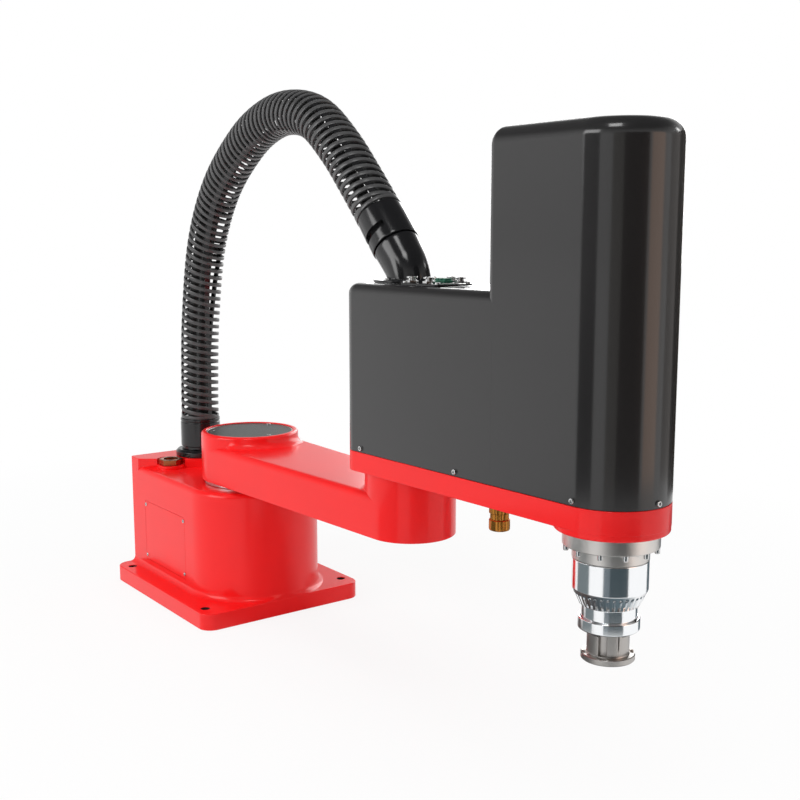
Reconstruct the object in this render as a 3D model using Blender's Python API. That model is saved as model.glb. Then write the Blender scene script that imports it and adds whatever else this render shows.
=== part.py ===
"""Four-axis selective-compliance robot arm with a belt-driven ball-screw spline quill.

Everything is in metres, +Z up. The origin is on the first joint's axis, in the plane of the
base's underside, and +X points along the straightened arm.
"""
import math

import bmesh
import bpy
from mathutils import Vector

# Arm
FIRST_LINK = 0.275          # first to second joint axis
SECOND_LINK = 0.225         # second joint axis to the quill
GAP = 0.0003                # clearance between touching pieces

# Base
PLATE_REAR = -0.149
PLATE_FRONT = 0.069
PLATE_HALF_WIDTH = 0.091
PLATE_TOP = 0.0165
PLATE_CORNER = 0.0138
BOLT_X = (-0.1275, 0.0475)
BOLT_Y = 0.080
BOLT_RADIUS = 0.0045
BODY_RADIUS = 0.0687
BODY_REAR = -0.1488
FOOT_FILLET = 0.006
PLATFORM_TOP = 0.1265
PLATFORM_FILLET = 0.005
LEDGE_TOP = 0.1362
BODY_WALL = 0.008
FLOOR_TOP = 0.014
ROOF_BOTTOM = 0.118
PANEL_X = (-0.114, -0.0174)
PANEL_Z = (0.0266, 0.0923)
PANEL_DEPTH = 0.0022
BREATHER_XY = (-0.1057, -0.0405)
BREATHER_SEAT = 0.1305
CONDUIT_X = -0.113

# First joint
HUB1_RADIUS = 0.0499
HUB1_TOP = 0.1800
CAP_RADIUS = 0.0443
CAP_SEAT = 0.1762
REDUCER1_RADIUS = 0.0470
REDUCER1_BORE = 0.0360

# First arm
LINK1_BOTTOM = 0.131
LINK1_TOP = 0.1682
LINK1_FILLET = 0.006
HUB2_RADIUS = 0.0385
HUB2_TOP = 0.1862
REDUCER2_BORE = 0.0300

# Second arm, x counted from the second joint
CAST2_BOTTOM = 0.1875
CAST2_TOP = 0.2041
CAST2_FLOOR = 0.1955
NOSE_RADIUS = 0.0398
HALF_WIDTH_AT_J2 = 0.0477
ARM2_REAR = -0.029
ARM2_CORNER = 0.014
NOSE_PAD_RADIUS = 0.0396
NOSE_PAD_BOTTOM = 0.1833

# Cover
COVER_WALL = 0.003
COVER_LOW_TOP = 0.3414
COVER_TALL_TOP = 0.4534
COVER_TALL_REAR = 0.1409
COVER_LOW_EDGE = 0.0085
COVER_TALL_EDGE = 0.0125
COVER_TALL_CORNER = 0.008

# Conduit
CONDUIT_RADIUS = 0.0205
CONDUIT_BORE = 0.0183
CONDUIT_WINDOWS = 12        # rows of windows along the arch, four windows to a row
CONDUIT_RIB = 9.0           # half the angle of a rib between two windows, in degrees
SLEEVE_RADIUS = 0.0216
SLEEVE_TOP = 0.178
CONDUIT_FLANGE_RADIUS = 0.0275
COLLAR_TOP = Vector((0.2316, 0.0, 0.3970))
COLLAR_END = Vector((0.2553, 0.0, 0.3705))
ELBOW_BEND = 0.030
ELBOW_SEAT = 0.3450
ELBOW_RADIUS = 0.0180
ELBOW_FLANGE_RADIUS = 0.0305
CONDUIT_ROUTE = (
    (-0.113, 0.1783), (-0.112, 0.215), (-0.106, 0.287), (-0.087, 0.368), (-0.050, 0.4275),
    (0.004, 0.4690), (0.050, 0.4880), (0.0925, 0.4925), (0.1350, 0.4830), (0.1735, 0.4555),
    (0.2030, 0.4270), (0.2314, 0.3973),
)

# Quill, z levels from the photo's circles
FLANGE_BOTTOM = 0.1723
FLANGE_RADIUS = 0.0332
RING_BOTTOM = 0.1632
RING_RADIUS = 0.0264
NOSE_CYLINDER_BOTTOM = 0.1422
NOSE_CYLINDER_RADIUS = 0.0262
NOSE_CONE_BOTTOM = 0.1311
NOSE_CONE_RADIUS = 0.0212
NECK_RADIUS = 0.0192
NECK_BOTTOM = 0.1190
COLLAR_RADIUS = 0.0213
COLLAR_UPPER = 0.1215
COLLAR_LOWER = 0.1131
HUB_RADIUS = 0.0146
HUB_BOTTOM = 0.0955
TOOL_FACE = 0.0911
TOOL_FLANGE_RADIUS = 0.0186
SHAFT_RADIUS = 0.0100
SHAFT_BORE = 0.0045
SHAFT_TOP = 0.4360
SHAFT_CLEARANCE = 0.0103
NUT_RADIUS = 0.0165
FLUTES = 24

# Belt drives
BIG_PULLEY_TEETH = 28
SMALL_PULLEY_TEETH = 14
BELT_PITCH = 0.0050
SPLINE_BELT_Z = (0.2085, 0.2185)
SCREW_BELT_Z = (0.2350, 0.2450)
ROTATION_MOTOR_X = 0.085
LIFT_MOTOR_X = 0.165
DRIVE_PLATE_Z = (0.2540, 0.2620)

FINISHES = {
    "red_paint": ((0.80, 0.030, 0.030), 0.32, 0.0),
    "black_cover": ((0.030, 0.030, 0.032), 0.30, 0.0),
    "black_plastic": ((0.018, 0.018, 0.020), 0.42, 0.0),
    "graphite": ((0.12, 0.13, 0.13), 0.45, 0.3),
    "blasted_aluminium": ((0.62, 0.61, 0.59), 0.48, 1.0),
    "chrome": ((0.66, 0.69, 0.72), 0.08, 1.0),
    "nickel": ((0.55, 0.53, 0.50), 0.30, 1.0),
    "bearing_steel": ((0.60, 0.60, 0.61), 0.20, 1.0),
    "brass": ((0.62, 0.33, 0.09), 0.30, 1.0),
    "motor_black": ((0.025, 0.025, 0.028), 0.50, 0.2),
    "belt_rubber": ((0.015, 0.015, 0.015), 0.80, 0.0),
    "connector_green": ((0.010, 0.12, 0.065), 0.45, 0.0),
}


def clear_scene():
    """Removes whatever the file opened with."""
    for item in list(bpy.data.objects):
        bpy.data.objects.remove(item, do_unlink=True)


def material(finish):
    """The Principled material of one finish, made once."""
    found = bpy.data.materials.get(finish)
    if found:
        return found
    colour, roughness, metallic = FINISHES[finish]
    made = bpy.data.materials.new(finish)
    made.use_nodes = True
    shader = made.node_tree.nodes["Principled BSDF"]
    shader.inputs["Base Color"].default_value = (*colour, 1.0)
    shader.inputs["Roughness"].default_value = roughness
    shader.inputs["Metallic"].default_value = metallic
    return made


def axis_empty(name, place, parent=None):
    """An empty on a joint's axis; what hangs on it is modelled from there."""
    empty = bpy.data.objects.new(name, None)
    bpy.context.scene.collection.objects.link(empty)
    empty.location = place
    empty.parent = parent
    return empty


def finish_object(name, bm, finish, parent):
    """Turns a bmesh into a named, smoothly shaded object on its empty."""
    bmesh.ops.recalc_face_normals(bm, faces=bm.faces)
    mesh = bpy.data.meshes.new(name)
    bm.to_mesh(mesh)
    bm.free()
    mesh.shade_smooth()
    mesh.set_sharp_from_angle(angle=math.radians(35))
    mesh.materials.append(material(finish))
    made = bpy.data.objects.new(name, mesh)
    bpy.context.scene.collection.objects.link(made)
    made.parent = parent
    return made


def loft(name, rings, finish, parent, closed=False):
    """One body through rings of equal point count, capped at its ends or closed on itself."""
    bm = bmesh.new()
    loops = [[bm.verts.new(point) for point in ring] for ring in rings]
    pairs = list(zip(loops, loops[1:]))
    if closed:
        pairs.append((loops[-1], loops[0]))
    count = len(loops[0])
    for low, high in pairs:
        for i in range(count):
            j = (i + 1) % count
            bm.faces.new((low[i], low[j], high[j], high[i]))
    if not closed:
        bm.faces.new(list(reversed(loops[0])))
        bm.faces.new(loops[-1])
    return finish_object(name, bm, finish, parent)


def arc(x, y, radius, start, end, steps):
    """Points on an arc, angles in degrees, both ends included."""
    angles = [math.radians(start + (end - start) * i / steps) for i in range(steps + 1)]
    return [(x + radius * math.cos(a), y + radius * math.sin(a)) for a in angles]


def circle(radius, steps=36, x=0.0, y=0.0):
    """Points on a full circle."""
    return arc(x, y, radius, 0, 360, steps)[:-1]


def at_height(outline, z):
    """A plan outline lifted to one level."""
    return [(x, y, z) for x, y in outline]


def rectangle(x0, x1, y0, y1, corner, steps=4):
    """A rectangle with round corners."""
    return (
        arc(x1 - corner, y0 + corner, corner, -90, 0, steps)
        + arc(x1 - corner, y1 - corner, corner, 0, 90, steps)
        + arc(x0 + corner, y1 - corner, corner, 90, 180, steps)
        + arc(x0 + corner, y0 + corner, corner, 180, 270, steps)
    )


def d_outline(inset, rear=BODY_REAR, corner=0.003):
    """The base body's plan: straight sides into a half round front about the first joint."""
    radius = BODY_RADIUS - inset
    corner = max(corner, 0.001)
    return (
        arc(0, 0, radius, -90, 90, 20)
        + arc(rear + corner, radius - corner, corner, 90, 180, 3)
        + arc(rear + corner, -radius + corner, corner, 180, 270, 3)
    )


def link_outline(inset, big=HUB1_RADIUS - 0.0006, small=HUB2_RADIUS - 0.0006, length=FIRST_LINK):
    """The tangents between two circles that lie just inside the hubs."""
    lean = math.degrees(math.asin((big - small) / length))
    return arc(0, 0, big - inset, 90 - lean, 270 + lean, 22) + arc(
        length, 0, small - inset, -90 + lean, 90 - lean, 18
    )


def arm2_outline(inset, rear=ARM2_REAR, corner=ARM2_CORNER):
    """The second arm's plan: sides that taper to a round nose about the quill."""
    lean = math.asin((HALF_WIDTH_AT_J2 - NOSE_RADIUS) / SECOND_LINK)
    rear = rear + inset
    corner = max(corner - inset, 0.0015)
    centre_x = rear + corner
    half = (NOSE_RADIUS + (SECOND_LINK - centre_x) * math.sin(lean) - inset) / math.cos(lean)
    centre_y = half - corner / math.cos(lean)
    degrees = math.degrees(lean)
    return (
        arc(SECOND_LINK, 0, NOSE_RADIUS - inset, -90 + degrees, 90 - degrees, 20)
        + arc(centre_x, centre_y, corner, 90 - degrees, 180, 4)
        + arc(centre_x, -centre_y, corner, 180, 270 + degrees, 4)
    )


def prism(name, outline, low, high, finish, parent):
    """A plan outline between two levels."""
    return loft(name, [at_height(outline, low), at_height(outline, high)], finish, parent)


def cylinder(name, radius, low, high, finish, parent, x=0.0, y=0.0, steps=36):
    """A round bar or, as a cutter, a round hole."""
    return prism(name, circle(radius, steps, x, y), low, high, finish, parent)


def turned(name, profile, finish, parent, x=0.0, y=0.0, steps=28):
    """A solid turned about an upright axis, its profile given from one end to the other."""
    rings = [at_height(circle(radius, steps, x, y), z) for radius, z in profile]
    return loft(name, rings, finish, parent)


def turned_ring(name, profile, finish, parent, x=0.0, y=0.0, steps=28):
    """A turned piece with a hole through it, its profile a closed loop."""
    rings = [at_height(circle(radius, steps, x, y), z) for radius, z in profile]
    return loft(name, rings, finish, parent, closed=True)


def rounded_top(outline_of, low, high, edge, steps=3):
    """Rings of a block whose top edge is rounded; outline_of takes an inset."""
    rings = [at_height(outline_of(0.0), low)]
    for i in range(steps + 1):
        angle = 0.5 * math.pi * i / steps
        inset = edge * (1 - math.cos(angle))
        rings.append(at_height(outline_of(inset), high - edge + edge * math.sin(angle)))
    return rings


def boolean(target, tool, operation="DIFFERENCE"):
    """Cuts target with tool, or joins tool to it, and puts the tool out of sight."""
    modifier = target.modifiers.new(operation.title() + " " + tool.name, "BOOLEAN")
    modifier.operation = operation
    modifier.solver = "EXACT"
    modifier.object = tool
    tool.hide_render = True
    tool.display_type = "WIRE"
    return target


def toothed_outline(teeth, depth=0.0012):
    """A timing pulley's plan: pointed gaps on a circle of the belt's pitch."""
    radius = teeth * BELT_PITCH / (2 * math.pi)
    points = []
    for i in range(teeth):
        for share, level in ((0.0, radius), (0.5, radius - depth)):
            angle = 2 * math.pi * (i + share) / teeth
            points.append((level * math.cos(angle), level * math.sin(angle)))
    return points


def pulley_radius(teeth):
    """Outside radius of a pulley's teeth."""
    return teeth * BELT_PITCH / (2 * math.pi)


def belt(name, big_x, small_x, levels, parent):
    """A closed timing belt round two pulleys of different size."""
    big, small = pulley_radius(BIG_PULLEY_TEETH), pulley_radius(SMALL_PULLEY_TEETH)
    span = big_x - small_x
    lean = math.degrees(math.asin((big - small) / span))

    def loop(offset):
        return arc(big_x, 0, big + offset, -90 - lean, 90 + lean, 20) + arc(
            small_x, 0, small + offset, 90 + lean, 270 - lean, 12
        )

    inner, outer = loop(GAP), loop(GAP + 0.0018)
    low, high = levels
    rings = [at_height(inner, low), at_height(inner, high), at_height(outer, high), at_height(outer, low)]
    return loft(name, rings, "belt_rubber", parent, closed=True)


def square_motor(name, half, low, high, parent, x, shaft_to, shaft_radius=0.004):
    """A servo motor: laminated square body, round end bell, encoder cap and its shaft."""
    body = prism(name, rectangle(x - half, x + half, -half, half, half * 0.22, 3), low, high, "motor_black", parent)
    step = high if high > shaft_to else low
    away = 1 if step == high else -1
    cap_from = step - away * 0.002
    cap_to = step + away * 0.018
    cap = prism(
        name + "_encoder", rectangle(x - half * 0.8, x + half * 0.8, -half * 0.8, half * 0.8, half * 0.3, 3),
        min(cap_from, cap_to), max(cap_from, cap_to), "motor_black", parent,
    )
    boolean(body, cap, "UNION")
    near = low if away == 1 else high
    shaft = cylinder(
        name + "_shaft", shaft_radius, min(near + away * 0.003, shaft_to), max(near + away * 0.003, shaft_to),
        "bearing_steel", parent, x=x, steps=16,
    )
    return boolean(body, shaft, "UNION")


def swept(name, centres, radii, finish, parent, steps=24):
    """A round body along a path in the X-Z plane, a ring square to the path at each point."""
    rings = []
    for i, centre in enumerate(centres):
        before, after = centres[max(i - 1, 0)], centres[min(i + 1, len(centres) - 1)]
        along = (after - before).normalized()
        across = Vector((-along.z, 0, along.x))
        ring = []
        for k in range(steps):
            angle = 2 * math.pi * k / steps
            ring.append(centre + radii[i] * (math.cos(angle) * across + math.sin(angle) * Vector((0, 1, 0))))
        rings.append(ring)
    return loft(name, rings, finish, parent)


def smooth_route(points, spacing):
    """Even points on the Catmull-Rom curve through a hand-chosen route in the X-Z plane."""
    knots = [Vector((x, 0.0, z)) for x, z in points]
    knots = [knots[0] * 2 - knots[1]] + knots + [knots[-1] * 2 - knots[-2]]
    dense = []
    for a, b, c, d in zip(knots, knots[1:], knots[2:], knots[3:]):
        for i in range(24):
            t = i / 24
            dense.append(
                0.5 * (2 * b + (c - a) * t + (2 * a - 5 * b + 4 * c - d) * t * t
                       + (3 * b - a - 3 * c + d) * t * t * t)
            )
    dense.append(knots[-2])
    lengths = [0.0]
    for a, b in zip(dense, dense[1:]):
        lengths.append(lengths[-1] + (b - a).length)
    count = round(lengths[-1] / spacing)
    route, k = [], 0
    for i in range(count + 1):
        wanted = lengths[-1] * i / count
        while k < len(dense) - 2 and lengths[k + 1] < wanted:
            k += 1
        share = (wanted - lengths[k]) / (lengths[k + 1] - lengths[k])
        route.append(dense[k].lerp(dense[k + 1], share))
    return route


def base_casting(frame):
    """Plate, D-shaped body with filleted foot and rounded platform, and the raised rear ledge."""
    plate = rectangle(PLATE_REAR, PLATE_FRONT, -PLATE_HALF_WIDTH, PLATE_HALF_WIDTH, PLATE_CORNER, 4)
    inner = rectangle(
        PLATE_REAR + 0.0008, PLATE_FRONT - 0.0008, -PLATE_HALF_WIDTH + 0.0008, PLATE_HALF_WIDTH - 0.0008,
        PLATE_CORNER - 0.0008, 4,
    )
    casting = loft(
        "base_casting",
        [at_height(plate, 0), at_height(plate, PLATE_TOP - 0.0008), at_height(inner, PLATE_TOP)],
        "red_paint", frame,
    )
    rings = [foot_ring(FOOT_FILLET, 0.012)]
    for i in range(4):
        angle = 0.5 * math.pi * i / 3
        rings.append(foot_ring(FOOT_FILLET * (1 - math.sin(angle)), PLATE_TOP + FOOT_FILLET * (1 - math.cos(angle))))
    rings += rounded_top(d_outline, 0.100, PLATFORM_TOP, PLATFORM_FILLET)
    boolean(casting, loft("body_form", rings, "red_paint", frame), "UNION")
    boolean(casting, rear_ledge(frame), "UNION")
    boss = cylinder("breather_boss", 0.0148, 0.120, BREATHER_SEAT, "red_paint", frame, *BREATHER_XY, steps=32)
    boolean(casting, boss, "UNION")
    pocket = cylinder("breather_pocket", 0.0152, BREATHER_SEAT, 0.150, "red_paint", frame, *BREATHER_XY, steps=32)
    boolean(casting, pocket)
    hollow_base(casting, frame)
    return casting


def foot_ring(spread, z):
    """The body's plan widened towards the foot, but never past the plate's front edge."""
    front = BODY_RADIUS + 0.0001
    return [(min(x, front), y, z) for x, y in d_outline(-spread)]


def rear_ledge(frame):
    """The raised rear of the platform, its front edge slanting forward round the conduit."""
    side = BODY_RADIUS - 0.0001
    outline = [
        (BODY_REAR + 0.0001, -side), (-0.129, -side), (-0.084, -0.014), (-0.084, 0.014),
        (-0.129, side), (BODY_REAR + 0.0001, side),
    ]
    return prism("ledge_form", outline, 0.110, LEDGE_TOP, "red_paint", frame)


def hollow_base(casting, frame):
    """The motor space, the reducer's bore, the cable way, the side window and the bolt holes."""
    cavity = prism("motor_space", d_outline(BODY_WALL, BODY_REAR + BODY_WALL), FLOOR_TOP, ROOF_BOTTOM, "red_paint", frame)
    boolean(casting, cavity)
    boolean(casting, cylinder("reducer_bore", REDUCER1_BORE, 0.110, 0.150, "red_paint", frame, steps=40))
    boolean(casting, cylinder("cable_way", 0.0150, 0.110, 0.150, "red_paint", frame, x=CONDUIT_X, steps=24))
    seat = side_slab("panel_seat", PANEL_X, PANEL_Z, -BODY_RADIUS - 0.010, -BODY_RADIUS + PANEL_DEPTH, frame)
    boolean(casting, seat)
    window_x = (PANEL_X[0] + 0.009, PANEL_X[1] - 0.009)
    window_z = (PANEL_Z[0] + 0.009, PANEL_Z[1] - 0.009)
    boolean(casting, side_slab("panel_window", window_x, window_z, -BODY_RADIUS - 0.010, -0.050, frame))
    for x in BOLT_X:
        for y in (-BOLT_Y, BOLT_Y):
            boolean(casting, cylinder("bolt_hole", BOLT_RADIUS, -0.010, 0.030, "red_paint", frame, x, y, 20))


def side_slab(name, x_range, z_range, y0, y1, frame, finish="red_paint", corner=0.0015):
    """A slab that stands on the near side, seen as a round-cornered rectangle from there."""
    face = rectangle(x_range[0], x_range[1], z_range[0], z_range[1], corner, 3)
    return loft(name, [[(x, y, z) for x, z in face] for y in (y0, y1)], finish, frame)


def base_pieces(frame):
    """What is fastened to the base casting."""
    base_casting(frame)
    panel_x = (PANEL_X[0] + GAP, PANEL_X[1] - GAP)
    panel_z = (PANEL_Z[0] + GAP, PANEL_Z[1] - GAP)
    side_slab("base_side_panel", panel_x, panel_z, -BODY_RADIUS, -BODY_RADIUS + PANEL_DEPTH - GAP, frame)
    hexagon = circle(0.0132, 6, *BREATHER_XY)
    breather = prism("base_brass_plug", hexagon, BREATHER_SEAT + GAP, BREATHER_SEAT + 0.0063, "brass", frame)
    recess = cylinder("plug_recess", 0.0075, BREATHER_SEAT + 0.003, 0.150, "brass", frame, *BREATHER_XY, steps=24)
    boolean(breather, recess)
    flange = CONDUIT_FLANGE_RADIUS
    seat = LEDGE_TOP + GAP
    turned_ring(
        "conduit_base_flange",
        [(0.0140, seat), (flange, seat), (flange, seat + 0.0050), (flange - 0.0025, seat + 0.0072),
         (0.0140, seat + 0.0072)],
        "black_plastic", frame, x=CONDUIT_X,
    )
    foot = seat + 0.0072 + GAP
    turned_ring(
        "conduit_base_sleeve",
        [(0.0170, foot), (SLEEVE_RADIUS, foot), (SLEEVE_RADIUS, SLEEVE_TOP - 0.001),
         (SLEEVE_RADIUS - 0.001, SLEEVE_TOP), (0.0170, SLEEVE_TOP)],
        "black_plastic", frame, x=CONDUIT_X,
    )
    square_motor("j1_servo_motor", 0.0280, 0.0340, 0.0990, frame, 0.0, 0.1165, shaft_radius=0.007)
    reducer = 0.0355
    turned_ring(
        "j1_reducer_housing",
        [(0.0262, 0.1020), (reducer, 0.1020), (reducer, PLATFORM_TOP + GAP), (REDUCER1_RADIUS, PLATFORM_TOP + GAP),
         (REDUCER1_RADIUS, 0.1302), (0.0262, 0.1302)],
        "bearing_steel", frame, steps=36,
    )


def conduit(frame):
    """The flexible conduit along its arch: a thin tube whose wall is a plain grid of rings and four ribs.

    The wall is laid out in cells, rows along the arch and columns round it. A cell of every third row,
    unless a rib runs through it, is a window; a wall stands wherever a solid cell meets a window.
    """
    rows = 3 * CONDUIT_WINDOWS
    route = smooth_route(CONDUIT_ROUTE, 0.001)
    route = [route[round(i * (len(route) - 1) / rows)] for i in range(rows + 1)]
    angles = []
    for quarter in range(4):
        angles += [90 * quarter - CONDUIT_RIB, 90 * quarter + CONDUIT_RIB, 90 * quarter + 45]
    columns = len(angles)

    def is_solid(row, column):
        return 0 <= row < rows and (row % 3 != 1 or column % 3 == 0)

    bm = bmesh.new()
    grids = []
    for radius in (CONDUIT_BORE, CONDUIT_RADIUS):
        grid = []
        for i, centre in enumerate(route):
            along = (route[min(i + 1, rows)] - route[max(i - 1, 0)]).normalized()
            across = Vector((-along.z, 0, along.x))
            ring = []
            for degrees in angles:
                angle = math.radians(degrees)
                spoke = math.cos(angle) * across + math.sin(angle) * Vector((0, 1, 0))
                ring.append(bm.verts.new(centre + radius * spoke))
            grid.append(ring)
        grids.append(grid)
    inner, outer = grids
    for i in range(rows):
        for j in range(columns):
            if not is_solid(i, j):
                continue
            k = (j + 1) % columns
            for grid in grids:
                bm.faces.new((grid[i][j], grid[i][k], grid[i + 1][k], grid[i + 1][j]))
            for beside, first, second in (
                ((i - 1, j), (i, j), (i, k)), ((i + 1, j), (i + 1, j), (i + 1, k)),
                ((i, (j - 1) % columns), (i, j), (i + 1, j)), ((i, k), (i, k), (i + 1, k)),
            ):
                if not is_solid(*beside):
                    (a, b), (c, d) = first, second
                    bm.faces.new((inner[a][b], inner[c][d], outer[c][d], outer[a][b]))
    return finish_object("cable_conduit", bm, "black_plastic", frame)


def arm1_casting(frame):
    """The first link: two hubs, rounded top edge, ribbed underside, reducer bores and cap seat."""
    rings = [at_height(link_outline(0.0008), LINK1_BOTTOM), at_height(link_outline(0.0), LINK1_BOTTOM + 0.0008)]
    rings += rounded_top(link_outline, 0.150, LINK1_TOP, LINK1_FILLET)
    casting = loft("arm1_casting", rings, "red_paint", frame)
    hub = rounded_top(lambda inset: circle(HUB1_RADIUS - inset, 44), LINK1_BOTTOM, HUB1_TOP, 0.003)
    boolean(casting, loft("hub1_form", hub, "red_paint", frame), "UNION")
    far_hub = cylinder("hub2_form", HUB2_RADIUS, LINK1_BOTTOM, HUB2_TOP, "red_paint", frame, x=FIRST_LINK, steps=40)
    boolean(casting, far_hub, "UNION")
    boolean(casting, cylinder("cap_seat", CAP_RADIUS + GAP, CAP_SEAT, 0.200, "red_paint", frame, steps=44))
    boolean(casting, cylinder("j1_hollow", 0.0300, LINK1_BOTTOM + 0.010, 0.200, "red_paint", frame, steps=32))
    boolean(
        casting,
        cylinder("j2_hollow", REDUCER2_BORE, 0.150, 0.200, "red_paint", frame, x=FIRST_LINK, steps=36),
    )
    rib_pockets(casting, frame)
    return casting


def rib_pockets(casting, frame):
    """Weight-saving pockets between the ribs of the link's underside."""
    for i in range(3):
        x = 0.0750 + i * 0.0520
        for side in (-1, 1):
            y0, y1 = sorted((side * 0.0025, side * 0.0320))
            pocket = rectangle(x, x + 0.0470, y0, y1, 0.004, 2)
            boolean(casting, prism("rib_pocket", pocket, 0.120, 0.1600, "red_paint", frame))


def arm1_pieces(frame):
    """What turns with the first link."""
    arm1_casting(frame)
    turned(
        "j1_cap",
        [(CAP_RADIUS - 0.0005, CAP_SEAT + GAP), (CAP_RADIUS, CAP_SEAT + 0.0008), (CAP_RADIUS, 0.1785),
         (CAP_RADIUS - 0.0005, 0.1790)],
        "graphite", frame, steps=44,
    )
    turned_ring(
        "j1_output_flange",
        [(0.0085, 0.1195), (0.0259, 0.1195), (0.0259, LINK1_BOTTOM - GAP), (0.0085, LINK1_BOTTOM - GAP)],
        "bearing_steel", frame,
    )
    turned_ring(
        "j2_reducer_housing",
        [(0.0218, 0.1503), (REDUCER2_BORE - GAP, 0.1503), (REDUCER2_BORE - GAP, HUB2_TOP - GAP),
         (0.0218, HUB2_TOP - GAP)],
        "bearing_steel", frame, x=FIRST_LINK,
    )


def arm2_casting(frame):
    """The second link's tray: tapered plan, round nose with its pad, pocketed top and two bores."""
    rings = [
        at_height(arm2_outline(0.0008), CAST2_BOTTOM),
        at_height(arm2_outline(0.0), CAST2_BOTTOM + 0.0008),
        at_height(arm2_outline(0.0), CAST2_TOP),
    ]
    casting = loft("arm2_casting", rings, "red_paint", frame)
    pad = cylinder("nose_pad", NOSE_PAD_RADIUS, NOSE_PAD_BOTTOM, 0.190, "red_paint", frame, x=SECOND_LINK, steps=48)
    boolean(casting, pad, "UNION")
    pocket = prism("tray_pocket", arm2_outline(0.006), CAST2_FLOOR, 0.220, "red_paint", frame)
    boolean(casting, pocket)
    boolean(casting, cylinder("j2_bore", 0.0210, 0.170, 0.210, "red_paint", frame, steps=32))
    boolean(casting, cylinder("quill_bore", 0.0233, 0.170, 0.210, "red_paint", frame, x=SECOND_LINK, steps=36))
    return casting


def arm2_cover(frame):
    """The black cover: a low box behind and a tall box over the quill, one thin open-bottomed shell."""
    bottom = CAST2_TOP + GAP

    def low_plan(inset):
        return arm2_outline(inset)

    def tall_plan(inset):
        return arm2_outline(inset + 0.00005, COVER_TALL_REAR, COVER_TALL_CORNER)

    def low_space(inset):
        return arm2_outline(inset + COVER_WALL)

    def tall_space(inset):
        return arm2_outline(inset + COVER_WALL + 0.00005, COVER_TALL_REAR, COVER_TALL_CORNER)

    cover = loft("arm2_cover", rounded_top(low_plan, bottom, COVER_LOW_TOP, COVER_LOW_EDGE), "black_cover", frame)
    tall = loft("tall_box", rounded_top(tall_plan, 0.300, COVER_TALL_TOP, COVER_TALL_EDGE, 4), "black_cover", frame)
    boolean(cover, tall, "UNION")
    edge = COVER_LOW_EDGE - COVER_WALL
    space = rounded_top(low_space, bottom - 0.010, COVER_LOW_TOP - COVER_WALL, edge, 2)
    boolean(cover, loft("low_space", space, "black_cover", frame))
    edge = COVER_TALL_EDGE - COVER_WALL
    space = rounded_top(tall_space, 0.290, COVER_TALL_TOP - COVER_WALL, edge, 2)
    boolean(cover, loft("tall_space", space, "black_cover", frame))
    boolean(cover, cylinder("cable_entry", 0.0150, 0.330, 0.350, "black_cover", frame, steps=24))
    return cover


def air_fitting(index, x, y, frame):
    """A small push-in air fitting: hexagon, threaded body and release ring."""
    seat = COVER_LOW_TOP + 0.0018 + GAP
    body = prism(f"air_fitting_{index}", circle(0.0050, 6, x, y), seat, seat + 0.0030, "nickel", frame)
    barrel = turned(
        "fitting_barrel",
        [(0.0040, seat + 0.002), (0.0040, seat + 0.0065), (0.0032, seat + 0.0068), (0.0032, seat + 0.0088)],
        "nickel", frame, x=x, y=y, steps=12,
    )
    boolean(body, barrel, "UNION")
    bore = cylinder("fitting_bore", 0.0020, seat + 0.004, seat + 0.020, "nickel", frame, x, y, 8)
    return boolean(body, bore)


def interface_pieces(frame):
    """The panel on the low cover with its air fittings and signal connector, and the brass muffler."""
    seat = COVER_LOW_TOP + GAP
    panel = rectangle(0.0320, 0.0790, -0.0360, 0.0010, 0.004, 3)
    prism("interface_panel", panel, seat, seat + 0.0015, "black_plastic", frame)
    for index, (x, y) in enumerate(((0.0385, -0.028), (0.0596, -0.028), (0.0585, -0.004), (0.0715, -0.007)), 1):
        air_fitting(index, x, y, frame)
    block = rectangle(0.0525, 0.0665, -0.0185, -0.0095, 0.001, 2)
    connector = prism("signal_connector", block, seat + 0.0018, seat + 0.0090, "connector_green", frame)
    for i in range(3):
        slot = rectangle(0.0535 + i * 0.0042, 0.0569 + i * 0.0042, -0.0175, -0.0105, 0.0005, 1)
        boolean(connector, prism("connector_slot", slot, seat + 0.0055, seat + 0.020, "connector_green", frame))
    muffler(frame)


def muffler(frame):
    """The brass muffler under the second link: two knurled bands and a groove between them."""
    x, y, radius = 0.1287, -0.0150, 0.0080
    top, foot = CAST2_BOTTOM - GAP, 0.1630

    def knurled(depth):
        points = []
        for i in range(32):
            level = radius - depth * (i % 2)
            angle = 2 * math.pi * i / 32
            points.append((x + level * math.cos(angle), y + level * math.sin(angle)))
        return points

    bands = [
        (0.0008, foot), (0.0003, foot + 0.0008), (0.0003, foot + 0.0082), (0.0012, foot + 0.0085),
        (0.0012, foot + 0.0130), (0.0003, foot + 0.0133), (0.0003, top),
    ]
    rings = []
    for depth, z in bands:
        rings.append(at_height(knurled(depth), z))
    loft("brass_muffler", rings, "brass", frame)


def drive_frame(frame):
    """The bracket that carries both motors and the screw nut over the tray, on four legs."""
    low, high = DRIVE_PLATE_Z
    plate = prism("drive_frame", arm2_outline(0.008, 0.050, 0.004), low, high, "blasted_aluminium", frame)
    for x, y in ((0.066, 0.0262), (0.066, -0.0262), (0.126, 0.0290), (0.126, -0.0290)):
        leg = cylinder("leg", 0.0040, CAST2_FLOOR + GAP, high - 0.002, "blasted_aluminium", frame, x, y, 12)
        boolean(plate, leg, "UNION")
    boolean(plate, cylinder("nut_bore", 0.0172, 0.240, 0.280, "blasted_aluminium", frame, SECOND_LINK, 0, 32))
    for x in (ROTATION_MOTOR_X, LIFT_MOTOR_X):
        boolean(plate, cylinder("motor_bore", 0.0130, 0.240, 0.280, "blasted_aluminium", frame, x, 0, 24))
    return plate


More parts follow.
